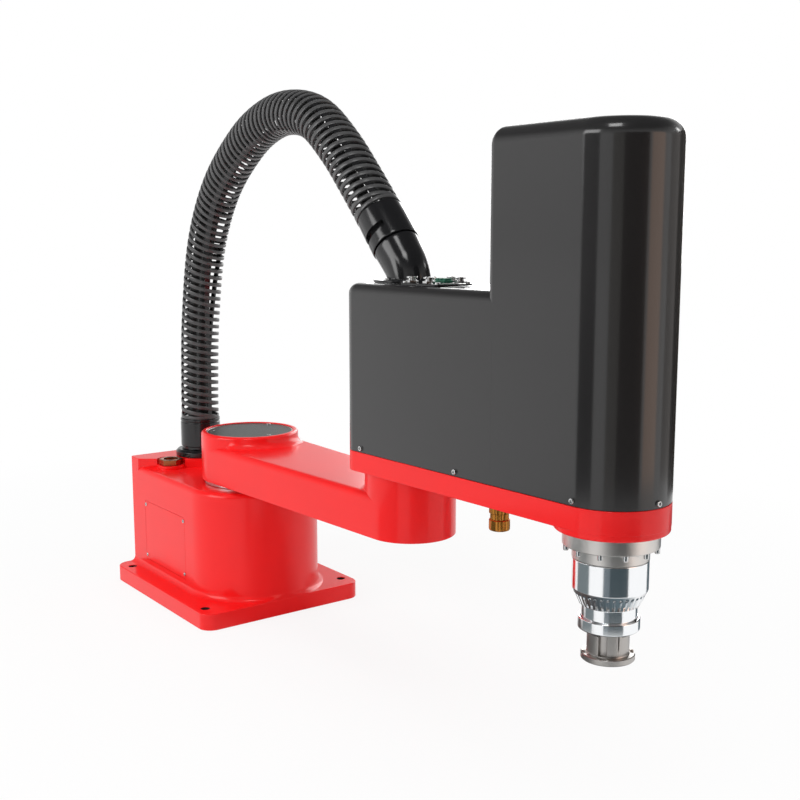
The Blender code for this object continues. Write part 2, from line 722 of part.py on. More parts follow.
def arm2_pieces(frame):
    """What turns with the second link."""
    arm2_casting(frame)
    arm2_cover(frame)
    interface_pieces(frame)
    drive_frame(frame)
    turned_ring(
        "j2_output_flange",
        [(0.0085, 0.1640), (0.0207, 0.1640), (0.0207, CAST2_FLOOR), (0.0085, CAST2_FLOOR)],
        "bearing_steel", frame, steps=32,
    )
    square_motor("j2_servo_motor", 0.0200, CAST2_FLOOR + GAP, 0.2900, frame, 0.0, 0.1700, shaft_radius=0.006)
    top = DRIVE_PLATE_Z[1] + GAP
    square_motor("rotation_servo_motor", 0.0200, top, 0.3100, frame, ROTATION_MOTOR_X, 0.2050)
    square_motor("lift_servo_motor", 0.0200, top, 0.3700, frame, LIFT_MOTOR_X, 0.2330)
    belt("rotation_belt", SECOND_LINK, ROTATION_MOTOR_X, SPLINE_BELT_Z, frame)
    belt("lift_belt", SECOND_LINK, LIFT_MOTOR_X, SCREW_BELT_Z, frame)
    seat = COVER_LOW_TOP + GAP
    turned_ring(
        "elbow_flange",
        [(0.0150, seat), (ELBOW_FLANGE_RADIUS, seat), (ELBOW_FLANGE_RADIUS, seat + 0.0017),
         (ELBOW_FLANGE_RADIUS - 0.0005, seat + 0.0022), (0.0218, seat + 0.0022), (0.0214, ELBOW_SEAT - GAP),
         (0.0150, ELBOW_SEAT - GAP)],
        "black_plastic", frame,
    )


def elbow_pieces(frame):
    """The elbow and collar that swivel on the second joint's axis to follow the conduit."""
    local = Vector((FIRST_LINK, 0, 0))
    along = (COLLAR_END - COLLAR_TOP).normalized()
    turn = math.atan2(-along.z, along.x)
    bend_start = math.pi / 2 - turn
    rim = COLLAR_END - local
    straight = (-rim.x - ELBOW_BEND * (1 - math.cos(bend_start))) / along.x
    start = rim + along * straight
    centre = start - ELBOW_BEND * Vector((math.cos(bend_start), 0, math.sin(bend_start)))
    path, radii = [rim + along * GAP, rim + along * 0.003, rim + along * 0.009], [0.0196, 0.0192, 0.0188]
    for i in range(7):
        angle = bend_start * (1 - i / 6)
        path.append(centre + ELBOW_BEND * Vector((math.cos(angle), 0, math.sin(angle))))
        radii.append(0.0188 + (ELBOW_RADIUS - 0.0188) * i / 6)
    elbow = swept("conduit_elbow", path, radii, "black_plastic", frame, steps=28)
    under = rectangle(-0.040, 0.040, -0.040, 0.040, 0.010)
    boolean(elbow, prism("elbow_foot_cut", under, 0.300, ELBOW_SEAT, "black_plastic", frame))
    collar = [COLLAR_TOP - local + along * GAP, COLLAR_TOP - local + along * 0.001]
    collar += [COLLAR_END - local - along * 0.012, COLLAR_END - local - along * 0.001, COLLAR_END - local]
    swept("conduit_collar", collar, [0.0186, 0.0196, 0.0203, 0.0203, 0.0198], "black_plastic", frame, steps=28)


def quill_housing(frame):
    """The fixed pieces round the quill, under the second link's nose, x and y from the quill's axis."""
    bore = NUT_RADIUS + GAP
    pad = NOSE_PAD_BOTTOM - GAP
    turned_ring(
        "quill_bearing_flange",
        [(bore, FLANGE_BOTTOM), (FLANGE_RADIUS - 0.0006, FLANGE_BOTTOM), (FLANGE_RADIUS, FLANGE_BOTTOM + 0.0006),
         (FLANGE_RADIUS, pad), (0.0230, pad), (0.0230, CAST2_TOP), (bore, CAST2_TOP)],
        "blasted_aluminium", frame, steps=36,
    )
    ring_top = FLANGE_BOTTOM - GAP
    turned_ring(
        "quill_retaining_ring",
        [(0.0145, RING_BOTTOM), (RING_RADIUS, RING_BOTTOM), (RING_RADIUS, ring_top), (0.0145, ring_top)],
        "blasted_aluminium", frame, steps=36,
    )
    chrome_nose(frame)


def chrome_nose(frame):
    """The chromed nose: cylinder, cone with a ring of flutes, and neck, bored for the shaft."""
    steps = FLUTES * 2

    def fluted(radius, depth):
        points = []
        for i in range(steps):
            level = radius - depth * (i % 2)
            angle = 2 * math.pi * i / steps
            points.append((level * math.cos(angle), level * math.sin(angle)))
        return points

    top = RING_BOTTOM - GAP
    inner = SHAFT_CLEARANCE + 0.0007
    flute_top = NOSE_CYLINDER_BOTTOM - 0.0035
    share = (NOSE_CYLINDER_BOTTOM - flute_top) / (NOSE_CYLINDER_BOTTOM - NOSE_CONE_BOTTOM)
    middle = NOSE_CYLINDER_RADIUS + (NOSE_CONE_RADIUS - NOSE_CYLINDER_RADIUS) * share
    profile = [
        (inner, top, 0.0), (NOSE_CYLINDER_RADIUS, top, 0.0), (NOSE_CYLINDER_RADIUS, NOSE_CYLINDER_BOTTOM, 0.0),
        (middle, flute_top, 0.0), (NOSE_CONE_RADIUS, NOSE_CONE_BOTTOM + 0.0006, 0.0013),
        (NOSE_CONE_RADIUS - 0.0004, NOSE_CONE_BOTTOM, 0.0010), (NECK_RADIUS, NOSE_CONE_BOTTOM - 0.0004, 0.0),
        (NECK_RADIUS, NECK_BOTTOM, 0.0), (inner, NECK_BOTTOM, 0.0),
    ]
    rings = []
    for radius, z, depth in profile:
        rings.append(at_height(fluted(radius, depth), z))
    loft("chrome_nose", rings, "chrome", frame, closed=True)


def toothed_pulley(name, teeth, bore, levels, finish, parent):
    """A timing pulley with flanges left to the belt's guide, bored for its nut or shaft."""
    low, high = levels
    teeth_plan = toothed_outline(teeth)
    bore_plan = circle(bore, len(teeth_plan))
    rings = [at_height(bore_plan, low), at_height(teeth_plan, low), at_height(teeth_plan, high), at_height(bore_plan, high)]
    return loft(name, rings, finish, parent, closed=True)


def spline_nut_pieces(frame):
    """The ball-spline nut and its pulley, which turn the shaft."""
    clearance = SHAFT_CLEARANCE
    turned_ring(
        "ball_spline_nut",
        [(clearance, 0.1665 + 0.0060), (0.0140, 0.1665 + 0.0060), (NUT_RADIUS, 0.1745), (NUT_RADIUS, 0.2205),
         (clearance, 0.2205)],
        "bearing_steel", frame, steps=32,
    )
    levels = (SPLINE_BELT_Z[0] - 0.0010, SPLINE_BELT_Z[1] + 0.0010)
    toothed_pulley("rotation_pulley", BIG_PULLEY_TEETH, NUT_RADIUS + GAP, levels, "blasted_aluminium", frame)


def screw_nut_pieces(frame):
    """The ball-screw nut and its pulley, which lift the shaft."""
    clearance = SHAFT_CLEARANCE
    turned_ring(
        "ball_screw_nut",
        [(clearance, 0.2245), (NUT_RADIUS, 0.2245), (NUT_RADIUS, 0.2750), (0.0140, 0.2765), (clearance, 0.2765)],
        "bearing_steel", frame, steps=32,
    )
    levels = (SCREW_BELT_Z[0] - 0.0010, SCREW_BELT_Z[1] + 0.0010)
    toothed_pulley("lift_pulley", BIG_PULLEY_TEETH, NUT_RADIUS + GAP, levels, "blasted_aluminium", frame)


def shaft_outline(radius):
    """A round shaft with three pairs of ball grooves."""
    points = []
    for i in range(36):
        level = radius - (0.0011 if i % 6 == 0 else 0.0)
        angle = 2 * math.pi * i / 36
        points.append((level * math.cos(angle), level * math.sin(angle)))
    return points


def shaft_pieces(frame):
    """The shaft with its stops and the tool flange, which slide and turn together."""
    low = TOOL_FACE + 0.0015
    outer, inner = shaft_outline(SHAFT_RADIUS), circle(SHAFT_BORE, 36)
    rings = [at_height(inner, low), at_height(outer, low), at_height(outer, SHAFT_TOP), at_height(inner, SHAFT_TOP)]
    loft("ball_screw_spline_shaft", rings, "bearing_steel", frame, closed=True)
    cup = NECK_RADIUS + GAP
    turned_ring(
        "lower_stop_collar",
        [(SHAFT_CLEARANCE, COLLAR_LOWER), (COLLAR_RADIUS - 0.0008, COLLAR_LOWER),
         (COLLAR_RADIUS, COLLAR_LOWER + 0.0008), (COLLAR_RADIUS, COLLAR_UPPER - 0.0005),
         (COLLAR_RADIUS - 0.0005, COLLAR_UPPER), (cup, COLLAR_UPPER), (cup, NECK_BOTTOM - 0.0006),
         (SHAFT_CLEARANCE, NECK_BOTTOM - 0.0006)],
        "chrome", frame,
    )
    turned_ring(
        "upper_stop_collar",
        [(SHAFT_CLEARANCE, 0.4200), (0.0160, 0.4200), (0.0160, 0.4290), (SHAFT_CLEARANCE, 0.4290)],
        "nickel", frame, steps=32,
    )
    tool_flange(frame)


def tool_flange(frame):
    """The clamping hub and the round tool face, slit on one side, notched on its rim."""
    top = COLLAR_LOWER - GAP
    flange = turned_ring(
        "tool_flange",
        [(SHAFT_CLEARANCE, TOOL_FACE), (TOOL_FLANGE_RADIUS - 0.0005, TOOL_FACE),
         (TOOL_FLANGE_RADIUS, TOOL_FACE + 0.0005), (TOOL_FLANGE_RADIUS, HUB_BOTTOM - 0.0002),
         (TOOL_FLANGE_RADIUS - 0.0004, HUB_BOTTOM), (HUB_RADIUS, HUB_BOTTOM), (HUB_RADIUS, top),
         (SHAFT_CLEARANCE, top)],
        "nickel", frame,
    )
    facing = math.radians(-36.8)
    slot_centre = Vector((HUB_RADIUS * math.cos(facing - 0.26), HUB_RADIUS * math.sin(facing - 0.26), 0))
    slot = rectangle(-0.004, 0.004, -0.0022, 0.0022, 0.0008, 2)
    turned_slot = []
    for x, y in slot:
        angle = facing - 0.26
        turned_slot.append((
            slot_centre.x + x * math.cos(angle) - y * math.sin(angle),
            slot_centre.y + x * math.sin(angle) + y * math.cos(angle),
        ))
    boolean(flange, prism("clamp_slot", turned_slot, HUB_BOTTOM + 0.0004, 0.130, "nickel", frame))
    return flange


def small_pulley(name, levels, parent):
    """A motor's pulley, bored for the motor's shaft."""
    return toothed_pulley(name, SMALL_PULLEY_TEETH, 0.0043, levels, "blasted_aluminium", parent)


def build():
    """Every piece, hung on the empties of the joints in the order of the arm."""
    clear_scene()
    base = axis_empty("base_frame", (0, 0, 0))
    j1 = axis_empty("first_joint", (0, 0, 0), base)
    j2 = axis_empty("second_joint", (FIRST_LINK, 0, 0), j1)
    elbow = axis_empty("elbow_swivel", (0, 0, 0), j2)
    quill = axis_empty("quill_axis", (SECOND_LINK, 0, 0), j2)
    rotation = axis_empty("rotation_motor_axis", (ROTATION_MOTOR_X, 0, 0), j2)
    lift = axis_empty("lift_motor_axis", (LIFT_MOTOR_X, 0, 0), j2)
    base_pieces(base)
    conduit(base)
    arm1_pieces(j1)
    arm2_pieces(j2)
    elbow_pieces(elbow)
    quill_housing(quill)
    spline_nut_pieces(quill)
    screw_nut_pieces(quill)
    shaft_pieces(quill)
    small_pulley("rotation_motor_pulley", (SPLINE_BELT_Z[0] - 0.001, SPLINE_BELT_Z[1] + 0.001), rotation)
    small_pulley("lift_motor_pulley", (SCREW_BELT_Z[0] - 0.001, SCREW_BELT_Z[1] + 0.001), lift)


build()
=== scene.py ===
"""Four-axis robot arm with a lifting quill and an arched cable conduit, dressed for close views.

Every size is in metres in the arm's own frame: the first joint's axis is the Z axis, the base stands on
z = 0, and the straightened arm runs along +X. Surfaces are worked out as arrays of points: a plan outline
carried up through levels, a profile turned about an axis, or a section carried along a path.
"""
import logging
import math
from dataclasses import dataclass, field
from enum import Enum
from typing import Callable, Iterable, Sequence

import bmesh
import bpy
import numpy as np
from mathutils import Matrix, Vector
from mathutils.geometry import tessellate_polygon


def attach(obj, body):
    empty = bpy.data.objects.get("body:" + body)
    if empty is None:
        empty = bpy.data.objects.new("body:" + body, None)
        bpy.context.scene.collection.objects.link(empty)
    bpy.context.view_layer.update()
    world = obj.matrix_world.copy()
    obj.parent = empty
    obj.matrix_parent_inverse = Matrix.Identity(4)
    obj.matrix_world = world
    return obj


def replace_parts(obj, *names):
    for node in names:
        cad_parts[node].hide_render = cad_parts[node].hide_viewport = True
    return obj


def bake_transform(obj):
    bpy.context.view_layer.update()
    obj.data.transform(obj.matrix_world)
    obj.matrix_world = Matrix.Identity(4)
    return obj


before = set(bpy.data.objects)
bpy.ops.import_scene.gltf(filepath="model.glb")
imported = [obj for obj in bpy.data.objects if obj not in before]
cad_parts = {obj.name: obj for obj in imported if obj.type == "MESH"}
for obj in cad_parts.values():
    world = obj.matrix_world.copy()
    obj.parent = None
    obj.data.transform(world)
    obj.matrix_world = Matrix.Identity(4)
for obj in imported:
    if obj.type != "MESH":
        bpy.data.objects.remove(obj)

Array = np.ndarray
Plan = Callable[[float], Array]
Pair = tuple[float, float]
Triple = tuple[float, float, float]
log = logging.getLogger("robot_arm")

ELBOW_AXIS_X = 0.275
QUILL_AXIS_X = 0.500
# The hairline left under a piece that rests on another.
BED = 0.0003
# The radius at which a lid's profile stops short of its axis.
HAIR = 0.0002


class Body(Enum):
    """The rigid bodies that pieces ride on."""

    BASE = "base"
    FIRST_ARM = "first_arm"
    SECOND_ARM = "second_arm"
    SWIVEL = "conduit_swivel"
    QUILL = "quill"


# ---- Curves and outlines


def spokes(count: int) -> Array:
    """Evenly spaced angles once round, in radians."""
    return np.linspace(0, 2 * math.pi, count, endpoint=False)


def quarter(steps: int) -> Array:
    """Evenly spaced angles from nought to a right angle, in radians."""
    return np.linspace(0, 0.5 * math.pi, steps + 1)


def arc(x: float, y: float, radius: float, start: float, stop: float, count: int) -> Array:
    """Points on an arc.

    Args:
        x, y: the centre.
        radius: the radius.
        start, stop: the angles of the ends, in degrees.
        count: how many points, both ends included.

    Returns:
        Points, one row each.
    """
    angle = np.radians(np.linspace(start, stop, count))
    return np.stack([x + radius * np.cos(angle), y + radius * np.sin(angle)], axis=1)


def circle(radius: float, count: int = 96, x: float = 0.0, y: float = 0.0) -> Array:
    """Points once round a circle, the first not repeated."""
    return arc(x, y, radius, 0, 360, count + 1)[:-1]


def soften(corners: Array, radii: float | Sequence[float], steps: int = 5, closed: bool = False) -> Array:
    """Rounds the corners of a path.

    The arc at a corner touches both sides at radius / tan(half the angle between them), and its points are
    spread evenly by the sine rule between the two touching points.

    Args:
        corners: the path's corners, one row each.
        radii: one radius, or one for each corner; the ends of an open path keep their place.
        steps: spans in each corner's arc.
        closed: whether the last corner leads back to the first.

    Returns:
        The rounded path.
    """
    path = np.asarray(corners, float)
    least = 2e-5
    size = np.broadcast_to(np.asarray(radii, float), len(path)).clip(least)
    middle = path if closed else path[1:-1]
    size = size if closed else size[1:-1]
    before = (np.roll(path, 1, 0) if closed else path[:-2]) - middle
    after = (np.roll(path, -1, 0) if closed else path[2:]) - middle
    before /= np.linalg.norm(before, axis=1, keepdims=True)
    after /= np.linalg.norm(after, axis=1, keepdims=True)
    half = 0.5 * np.arccos(np.clip((before * after).sum(1), -0.99999, 0.99999))
    reach = (size / np.tan(half))[:, None]
    inward = (before + after) / np.linalg.norm(before + after, axis=1, keepdims=True)
    centre = middle + inward * (size / np.sin(half))[:, None]
    first, last = middle + before * reach - centre, middle + after * reach - centre
    sweep = (math.pi - 2 * half)[:, None, None]
    share = np.linspace(0, 1, steps + 1)[None, :, None]
    bow = np.sin((1 - share) * sweep) * first[:, None] + np.sin(share * sweep) * last[:, None]
    rounded = (centre[:, None] + bow / np.sin(sweep)).reshape(-1, path.shape[1])
    return rounded if closed else np.concatenate([path[:1], rounded, path[-1:]])


def rectangle(x0: float, x1: float, y0: float, y1: float, corner: float, steps: int = 8) -> Array:
    """A rectangle with round corners, anticlockwise."""
    return soften(np.array([[x0, y0], [x1, y0], [x1, y1], [x0, y1]]), corner, steps, closed=True)


def box_plan(x: Pair, y: Pair, corner: float) -> Plan:
    """The plan of a box, as a function of how far it is drawn in."""
    return lambda inset: rectangle(x[0] + inset, x[1] - inset, y[0] + inset, y[1] - inset, corner - inset)


def disc(radius: float, low: float, high: float, edge: float) -> Array:
    """The profile of a round disc with softened edges."""
    return soften(np.array([[HAIR, low], [radius, low], [radius, high], [HAIR, high]]), edge)


def edge_rows(low: float, high: float, foot: float, crown: float, steps: int = 7) -> tuple[Array, Array]:
    """Insets and heights of a wall whose foot and top edge are rounded by quarter circles.

    Args:
        low, high: the levels of the wall's ends.
        foot, crown: the edge radii at the bottom and at the top.
        steps: spans in each quarter circle.

    Returns:
        The insets, and the heights that go with them.
    """
    angle = quarter(steps)
    inset = np.concatenate([foot * (1 - np.sin(angle)), crown * (1 - np.cos(angle))])
    height = np.concatenate([low + foot * (1 - np.cos(angle)), high - crown * (1 - np.sin(angle))])
    return inset, height


def smooth_path(knots: Array, count: int) -> Array:
    """Evenly spaced points on the Catmull-Rom curve through a route's knots.

    Args:
        knots: the route's points, one row each.
        count: how many points are wanted, both ends included.

    Returns:
        Points at equal steps of length.
    """
    whole = np.concatenate([2 * knots[:1] - knots[1:2], knots, 2 * knots[-1:] - knots[-2:-1]])
    a, b, c, d = whole[:-3, None], whole[1:-2, None], whole[2:-1, None], whole[3:, None]
    t = np.linspace(0, 1, 64, endpoint=False)[None, :, None]
    bend = (2 * a - 5 * b + 4 * c - d) * t**2 + (3 * b - a - 3 * c + d) * t**3
    curve = 0.5 * (2 * b + (c - a) * t + bend)
    dense = np.concatenate([curve.reshape(-1, knots.shape[1]), knots[-1:]])
    length = np.concatenate([[0], np.cumsum(np.linalg.norm(np.diff(dense, axis=0), axis=1))])
    wanted = np.linspace(0, length[-1], count)
    return np.stack([np.interp(wanted, length, dense[:, k]) for k in range(knots.shape[1])], axis=1)


# ---- Meshes


def lifted(outline: Array, height: float | Array) -> Array:
    """A plan outline at one level, or with a height for each of its points."""
    return np.concatenate([outline, np.broadcast_to(height, len(outline)).reshape(-1, 1)], axis=1)


def stack(plan: Plan, inset: Array, height: Array) -> Array:
    """Rows of one plan, drawn in by each inset and set at each height."""
    return np.stack([lifted(plan(float(i)), float(z)) for i, z in zip(inset, height)])


def polar(r: Array, angle: Array, z: Array, x: float = 0.0, y: float = 0.0) -> Array:
    """A grid of points from their radii, angles and heights about an upright axis at x, y."""
    east, north = x + r * np.cos(angle), y + r * np.sin(angle)
    return np.stack([east, north, np.broadcast_to(z, east.shape)], axis=2)


def turned(profile: Array, count: int = 128, x: float = 0.0, y: float = 0.0) -> Array:
    """A profile of radius and height carried round an upright axis at x, y."""
    return polar(profile[:, :1], spokes(count), profile[:, 1:2], x, y)


def window(value: Array, low: float, high: float, soft: float) -> Array:
    """One between low and high and nought outside, over a short ramp at both ends."""
    return np.clip((value - low) / soft, 0, 1) * np.clip((high - value) / soft, 0, 1)


class Skin:
    """Gathers grids of points and flat lids, and makes one closed mesh of them."""

    def __init__(self) -> None:
        """Starts with nothing."""
        self.points: list[Array] = []
        self.faces: list[Array] = []
        self.flats: list[Array] = []
        self.count = 0

    def _keep(self, points: Array) -> int:
        """Stores points and gives the number of the first."""
        first = self.count
        self.points.append(points.reshape(-1, 3))
        self.count += self.points[-1].shape[0]
        return first

    def grid(self, points: Array, around: bool = True, closed: bool = False) -> "Skin":
        """Adds one grid, or several of one size, as quads.

        Args:
            points: rows x columns x 3, or grids x rows x columns x 3.
            around: whether the last column joins the first.
            closed: whether the last row joins the first.

        Returns:
            This skin.
        """
        many = points if points.ndim == 4 else points[None]
        sheets, rows, columns = many.shape[:3]
        index = self._keep(many) + np.arange(sheets * rows * columns).reshape(sheets, rows, columns)
        if around:
            index = np.concatenate([index, index[:, :, :1]], axis=2)
        if closed:
            index = np.concatenate([index, index[:, :1]], axis=1)
        corners = [index[:, :-1, :-1], index[:, :-1, 1:], index[:, 1:, 1:], index[:, 1:, :-1]]
        self.faces.append(np.stack(corners, axis=-1).reshape(-1, 4))
        return self

    def lid(self, outline: Array, holes: Iterable[Array] = ()) -> "Skin":
        """Adds a flat face inside an outline, less its holes, cut into triangles.

        Args:
            outline: the rim, one point to a row.
            holes: the rims of holes.

        Returns:
            This skin.
        """
        loops = [outline, *holes]
        triangles = tessellate_polygon([[Vector(point) for point in loop] for loop in loops])
        self.flats.append(self._keep(np.concatenate(loops)) + np.array(triangles))
        return self

    def solid(self, points: Array) -> "Skin":
        """Adds a grid with a flat lid on its first and last rows."""
        return self.grid(points).lid(points[0]).lid(points[-1])

    def mesh(self, name: str, sharp: float) -> bpy.types.Mesh:
        """Makes the mesh: merged where its parts meet, faces outwards, smooth up to an angle.

        Args:
            name: the mesh's name.
            sharp: the angle in degrees past which an edge stays sharp.

        Returns:
            The mesh.
        """
        faces = [face for part in self.faces + self.flats for face in part.tolist()]
        made = bpy.data.meshes.new(name)
        made.from_pydata(np.concatenate(self.points), [], faces)
        work = bmesh.new()
        work.from_mesh(made)
        bmesh.ops.remove_doubles(work, verts=work.verts, dist=2e-6)
        bmesh.ops.dissolve_degenerate(work, edges=work.edges, dist=1e-6)
        bmesh.ops.recalc_face_normals(work, faces=work.faces)
        work.to_mesh(made)
        work.free()
        made.shade_smooth()
        made.set_sharp_from_angle(angle=math.radians(sharp))
        return made


def aimed(points: Array, place: Sequence[float], normal: Sequence[float]) -> Array:
    """Moves points from the origin to a place, their +Z turned to a normal."""
    turn = np.array(Vector((0, 0, 1)).rotation_difference(Vector(normal)).to_matrix())
    return points @ turn.T + np.asarray(place, float)


def socket_screw(radius: float, height: float) -> Array:
    """A cap screw's head at the origin, with a hexagonal socket.

    The socket's rim is a hexagon in polar form: its half width over the cosine of the angle from the
    nearest flat.

    Args:
        radius: the head's radius.
        height: how far the head stands up.

    Returns:
        Rows from the foot over the rim down into the socket.
    """
    angle = spokes(24)
    flat = (angle + math.pi / 6) % (math.pi / 3) - math.pi / 6
    hexagon = 0.48 * radius / np.cos(flat)
    sunk = 0.0004
    head = np.array([[1.0, -sunk], [1.0, 0.72 * height], [0.90, 0.96 * height], [0.80, height]])
    socket = np.array([[1.06, height], [1.0, 0.93 * height], [1.0, 0.35 * height], [0.1, 0.30 * height]])
    r = np.concatenate([head[:, :1] * radius * np.ones_like(angle), socket[:, :1] * hexagon])
    return polar(r, angle, np.concatenate([head[:, 1:], socket[:, 1:]]))


# ---- Shaders


class Wire:
    """A number in a node tree; arithmetic on it adds Math nodes."""

    def __init__(self, tree: bpy.types.NodeTree, socket: bpy.types.NodeSocket) -> None:
        """Wraps one output socket."""
        self.tree, self.socket = tree, socket

    def _math(self, operation: str, *values: "Wire | float") -> "Wire":
        """Adds a Math node fed with the values."""
        made = self.tree.nodes.new("ShaderNodeMath")
        made.operation = operation
        for slot, value in zip(made.inputs, values):
            feed(self.tree, slot, value)
        return Wire(self.tree, made.outputs[0])

    def __add__(self, other: "Wire | float") -> "Wire":
        """self + other."""
        return self._math("ADD", self, other)

    __radd__ = __add__

    def __mul__(self, other: "Wire | float") -> "Wire":
        """self * other."""
        return self._math("MULTIPLY", self, other)

    __rmul__ = __mul__

    def __sub__(self, other: "Wire | float") -> "Wire":
        """self - other."""
        return self._math("SUBTRACT", self, other)

    def __rsub__(self, other: "Wire | float") -> "Wire":
        """other - self."""
        return self._math("SUBTRACT", other, self)

    def __abs__(self) -> "Wire":
        """The size, without the sign."""
        return self._math("ABSOLUTE", self)

    def maximum(self, other: "Wire | float") -> "Wire":
        """The larger of the two."""
        return self._math("MAXIMUM", self, other)


def feed(tree: bpy.types.NodeTree, slot: bpy.types.NodeSocket, value: object) -> None:
    """Links a wire or socket to an input, or writes a plain value into it."""
    if isinstance(value, Wire):
        value = value.socket
    if isinstance(value, bpy.types.NodeSocket):
        tree.links.new(value, slot)
    else:
        slot.default_value = value


class Graph:
    """A node tree being wired."""

    def __init__(self, owner: bpy.types.Material | bpy.types.World) -> None:
        """Takes over a material's or world's tree and clears it."""
        owner.use_nodes = True
        self.tree = owner.node_tree
        self.tree.nodes.clear()

    def node(
        self, kind: str, settings: dict[str, object] | None = None, sockets: dict[str | int, object] | None = None
    ) -> bpy.types.Node:
        """Adds any node.

        Args:
            kind: the node's type, without its ShaderNode prefix.
            settings: its own settings, set first.
            sockets: values or links of its inputs, by name or number.

        Returns:
            The node.
        """
        made = self.tree.nodes.new("ShaderNode" + kind)
        for key, value in (settings or {}).items():
            setattr(made, key, value)
        for key, value in (sockets or {}).items():
            feed(self.tree, made.inputs[key], value)
        return made

    def wire(self, made: bpy.types.Node, output: str | int = 0) -> Wire:
        """One of a node's outputs, ready for arithmetic."""
        return Wire(self.tree, made.outputs[output])

    def noise(self, scale: float, stretch: Sequence[float] = (1, 1, 1), detail: float = 2.0) -> Wire:
        """Noise on Object coordinates, in cycles per metre, stretched along the axes."""
        place = self.node("TexCoord")
        mapping = self.node("Mapping", None, {"Vector": place.outputs["Object"], "Scale": tuple(stretch)})
        made = self.node("TexNoise", None, {"Vector": mapping.outputs[0], "Scale": scale, "Detail": detail})
        return self.wire(made)

    def mix(self, share: Wire | float, first: Sequence[float], second: Sequence[float]) -> bpy.types.NodeSocket:
        """A colour between two others."""
        made = self.node("Mix", {"data_type": "RGBA"}, {0: share, 6: (*first, 1.0), 7: (*second, 1.0)})
        return made.outputs[2]

    def span(self, value: Wire, start: float, stop: float, first: float, last: float) -> Wire:
        """A number that goes from first to last as a value goes from start to stop."""
        return self.wire(self.node("MapRange", None, {0: value, 1: start, 2: stop, 3: first, 4: last}))

    def glow(self, tone: Sequence[float], kind: str = "Emission") -> Wire:
        """A plain light of one colour, or a plain background."""
        return self.wire(self.node(kind, None, {"Color": (*tone, 1.0), "Strength": 1.0}))

    def either(self, share: Wire, first: Wire, second: Wire) -> Wire:
        """A shader that is the first where share is nought, and the second where it is one."""
        return self.wire(self.node("MixShader", None, {0: share, 1: first, 2: second}))

    def end(self, kind: str, surface: Wire) -> None:
        """Gives the tree its output, OutputMaterial or OutputWorld."""
        self.node(kind, None, {"Surface": surface})


class Grain(Enum):
    """How a surface is made, as the scale, stretch and depth of its finest marks."""

    SPRAYED = (900.0, (1, 1, 1), 0.035)
    MOULDED = (2600.0, (1, 1, 1), 0.10)
    GLOSSY = (700.0, (1, 1, 1), 0.012)
    BLASTED = (3800.0, (1, 1, 1), 0.22)
    TURNED = (60.0, (1, 1, 60), 0.10)
    POLISHED = (40.0, (1, 1, 40), 0.010)
    WOVEN = (1600.0, (1, 1, 1), 0.30)


@dataclass(frozen=True)
class Finish:
    """One surface finish: its slot in the record, its colour and the small changes over it."""

    name: str
    slot: str
    colour: Triple
    roughness: float
    grain: Grain
    metallic: float = 0.0
    coat: float = 0.0
    coat_roughness: float = 0.1
    unevenness: float = 0.05
    specular: float = 0.5

    def material(self) -> bpy.types.Material:
        """The Principled material: slow clouds of tone and roughness, and the grain as a bump.

        Returns:
            The material, made once.
        """
        found = bpy.data.materials.get(self.name)
        if found:
            return found
        made = bpy.data.materials.new(self.name)
        graph = Graph(made)
        clouds = graph.noise(14.0, detail=3.0)
        scale, stretch, depth = self.grain.value
        fine = graph.noise(scale, stretch)
        spread = 1.6 * self.unevenness
        dark = [c * (1 - spread) for c in self.colour]
        light = [min(1.0, c * (1 + spread)) for c in self.colour]
        rough = (clouds - 0.5) * (3 * self.roughness * self.unevenness) + self.roughness
        bump = graph.node("Bump", None, {"Strength": depth, "Distance": 0.0004, "Height": fine})
        shader = graph.node("BsdfPrincipled", None, {
            "Base Color": graph.mix(clouds * 0.7 + fine * 0.3, dark, light), "Roughness": rough,
            "Metallic": self.metallic, "Coat Weight": self.coat, "Coat Roughness": self.coat_roughness,
            "Specular IOR Level": self.specular, "Normal": bump.outputs[0],
        })
        graph.end("OutputMaterial", graph.wire(shader))
        return made


def metal(name: str, slot: str, colour: Triple, roughness: float, grain: Grain, unevenness: float = 0.05) -> Finish:
    """A bare metal's finish."""
    return Finish(name, slot, colour, roughness, grain, metallic=1.0, unevenness=unevenness)


RED = Finish(
    "red_enamel", "red_paint", (0.90, 0.010, 0.011), 0.40, Grain.SPRAYED,
    coat=0.5, coat_roughness=0.16, specular=0.10,
)
BLACK = Finish(
    "black_shell", "black_cover", (0.017, 0.0165, 0.017), 0.34, Grain.GLOSSY,
    coat=1.0, coat_roughness=0.14, specular=0.10,
)
PLASTIC = Finish("black_plastic_gloss", "black_plastic", (0.009, 0.009, 0.010), 0.17, Grain.GLOSSY)
HOSE = Finish("hose_plastic", "black_plastic", (0.062, 0.062, 0.063), 0.32, Grain.GLOSSY)
CABLE = Finish("cable_sheath", "black_plastic", (0.007, 0.007, 0.007), 0.45, Grain.MOULDED)
GRAPHITE = Finish("graphite_cap", "graphite", (0.055, 0.062, 0.060), 0.42, Grain.BLASTED, metallic=0.3)
MOTOR = Finish("motor_paint", "motor_black", (0.022, 0.022, 0.024), 0.50, Grain.MOULDED)
BELT = Finish("belt_fabric", "belt_rubber", (0.013, 0.013, 0.013), 0.80, Grain.WOVEN)
GREEN = Finish("connector_plastic", "connector_green", (0.012, 0.13, 0.075), 0.42, Grain.MOULDED)
BRIGHT = metal("cap_rim", "blasted_aluminium", (0.62, 0.62, 0.60), 0.30, Grain.TURNED)
ALUMINIUM = metal("blasted_alloy", "blasted_aluminium", (0.68, 0.655, 0.63), 0.29, Grain.BLASTED)
CHROME = metal("chrome_plate", "chrome", (0.93, 0.945, 0.96), 0.14, Grain.POLISHED, 0.02)
NICKEL = metal("nickel_plate", "nickel", (0.46, 0.44, 0.42), 0.30, Grain.BLASTED)
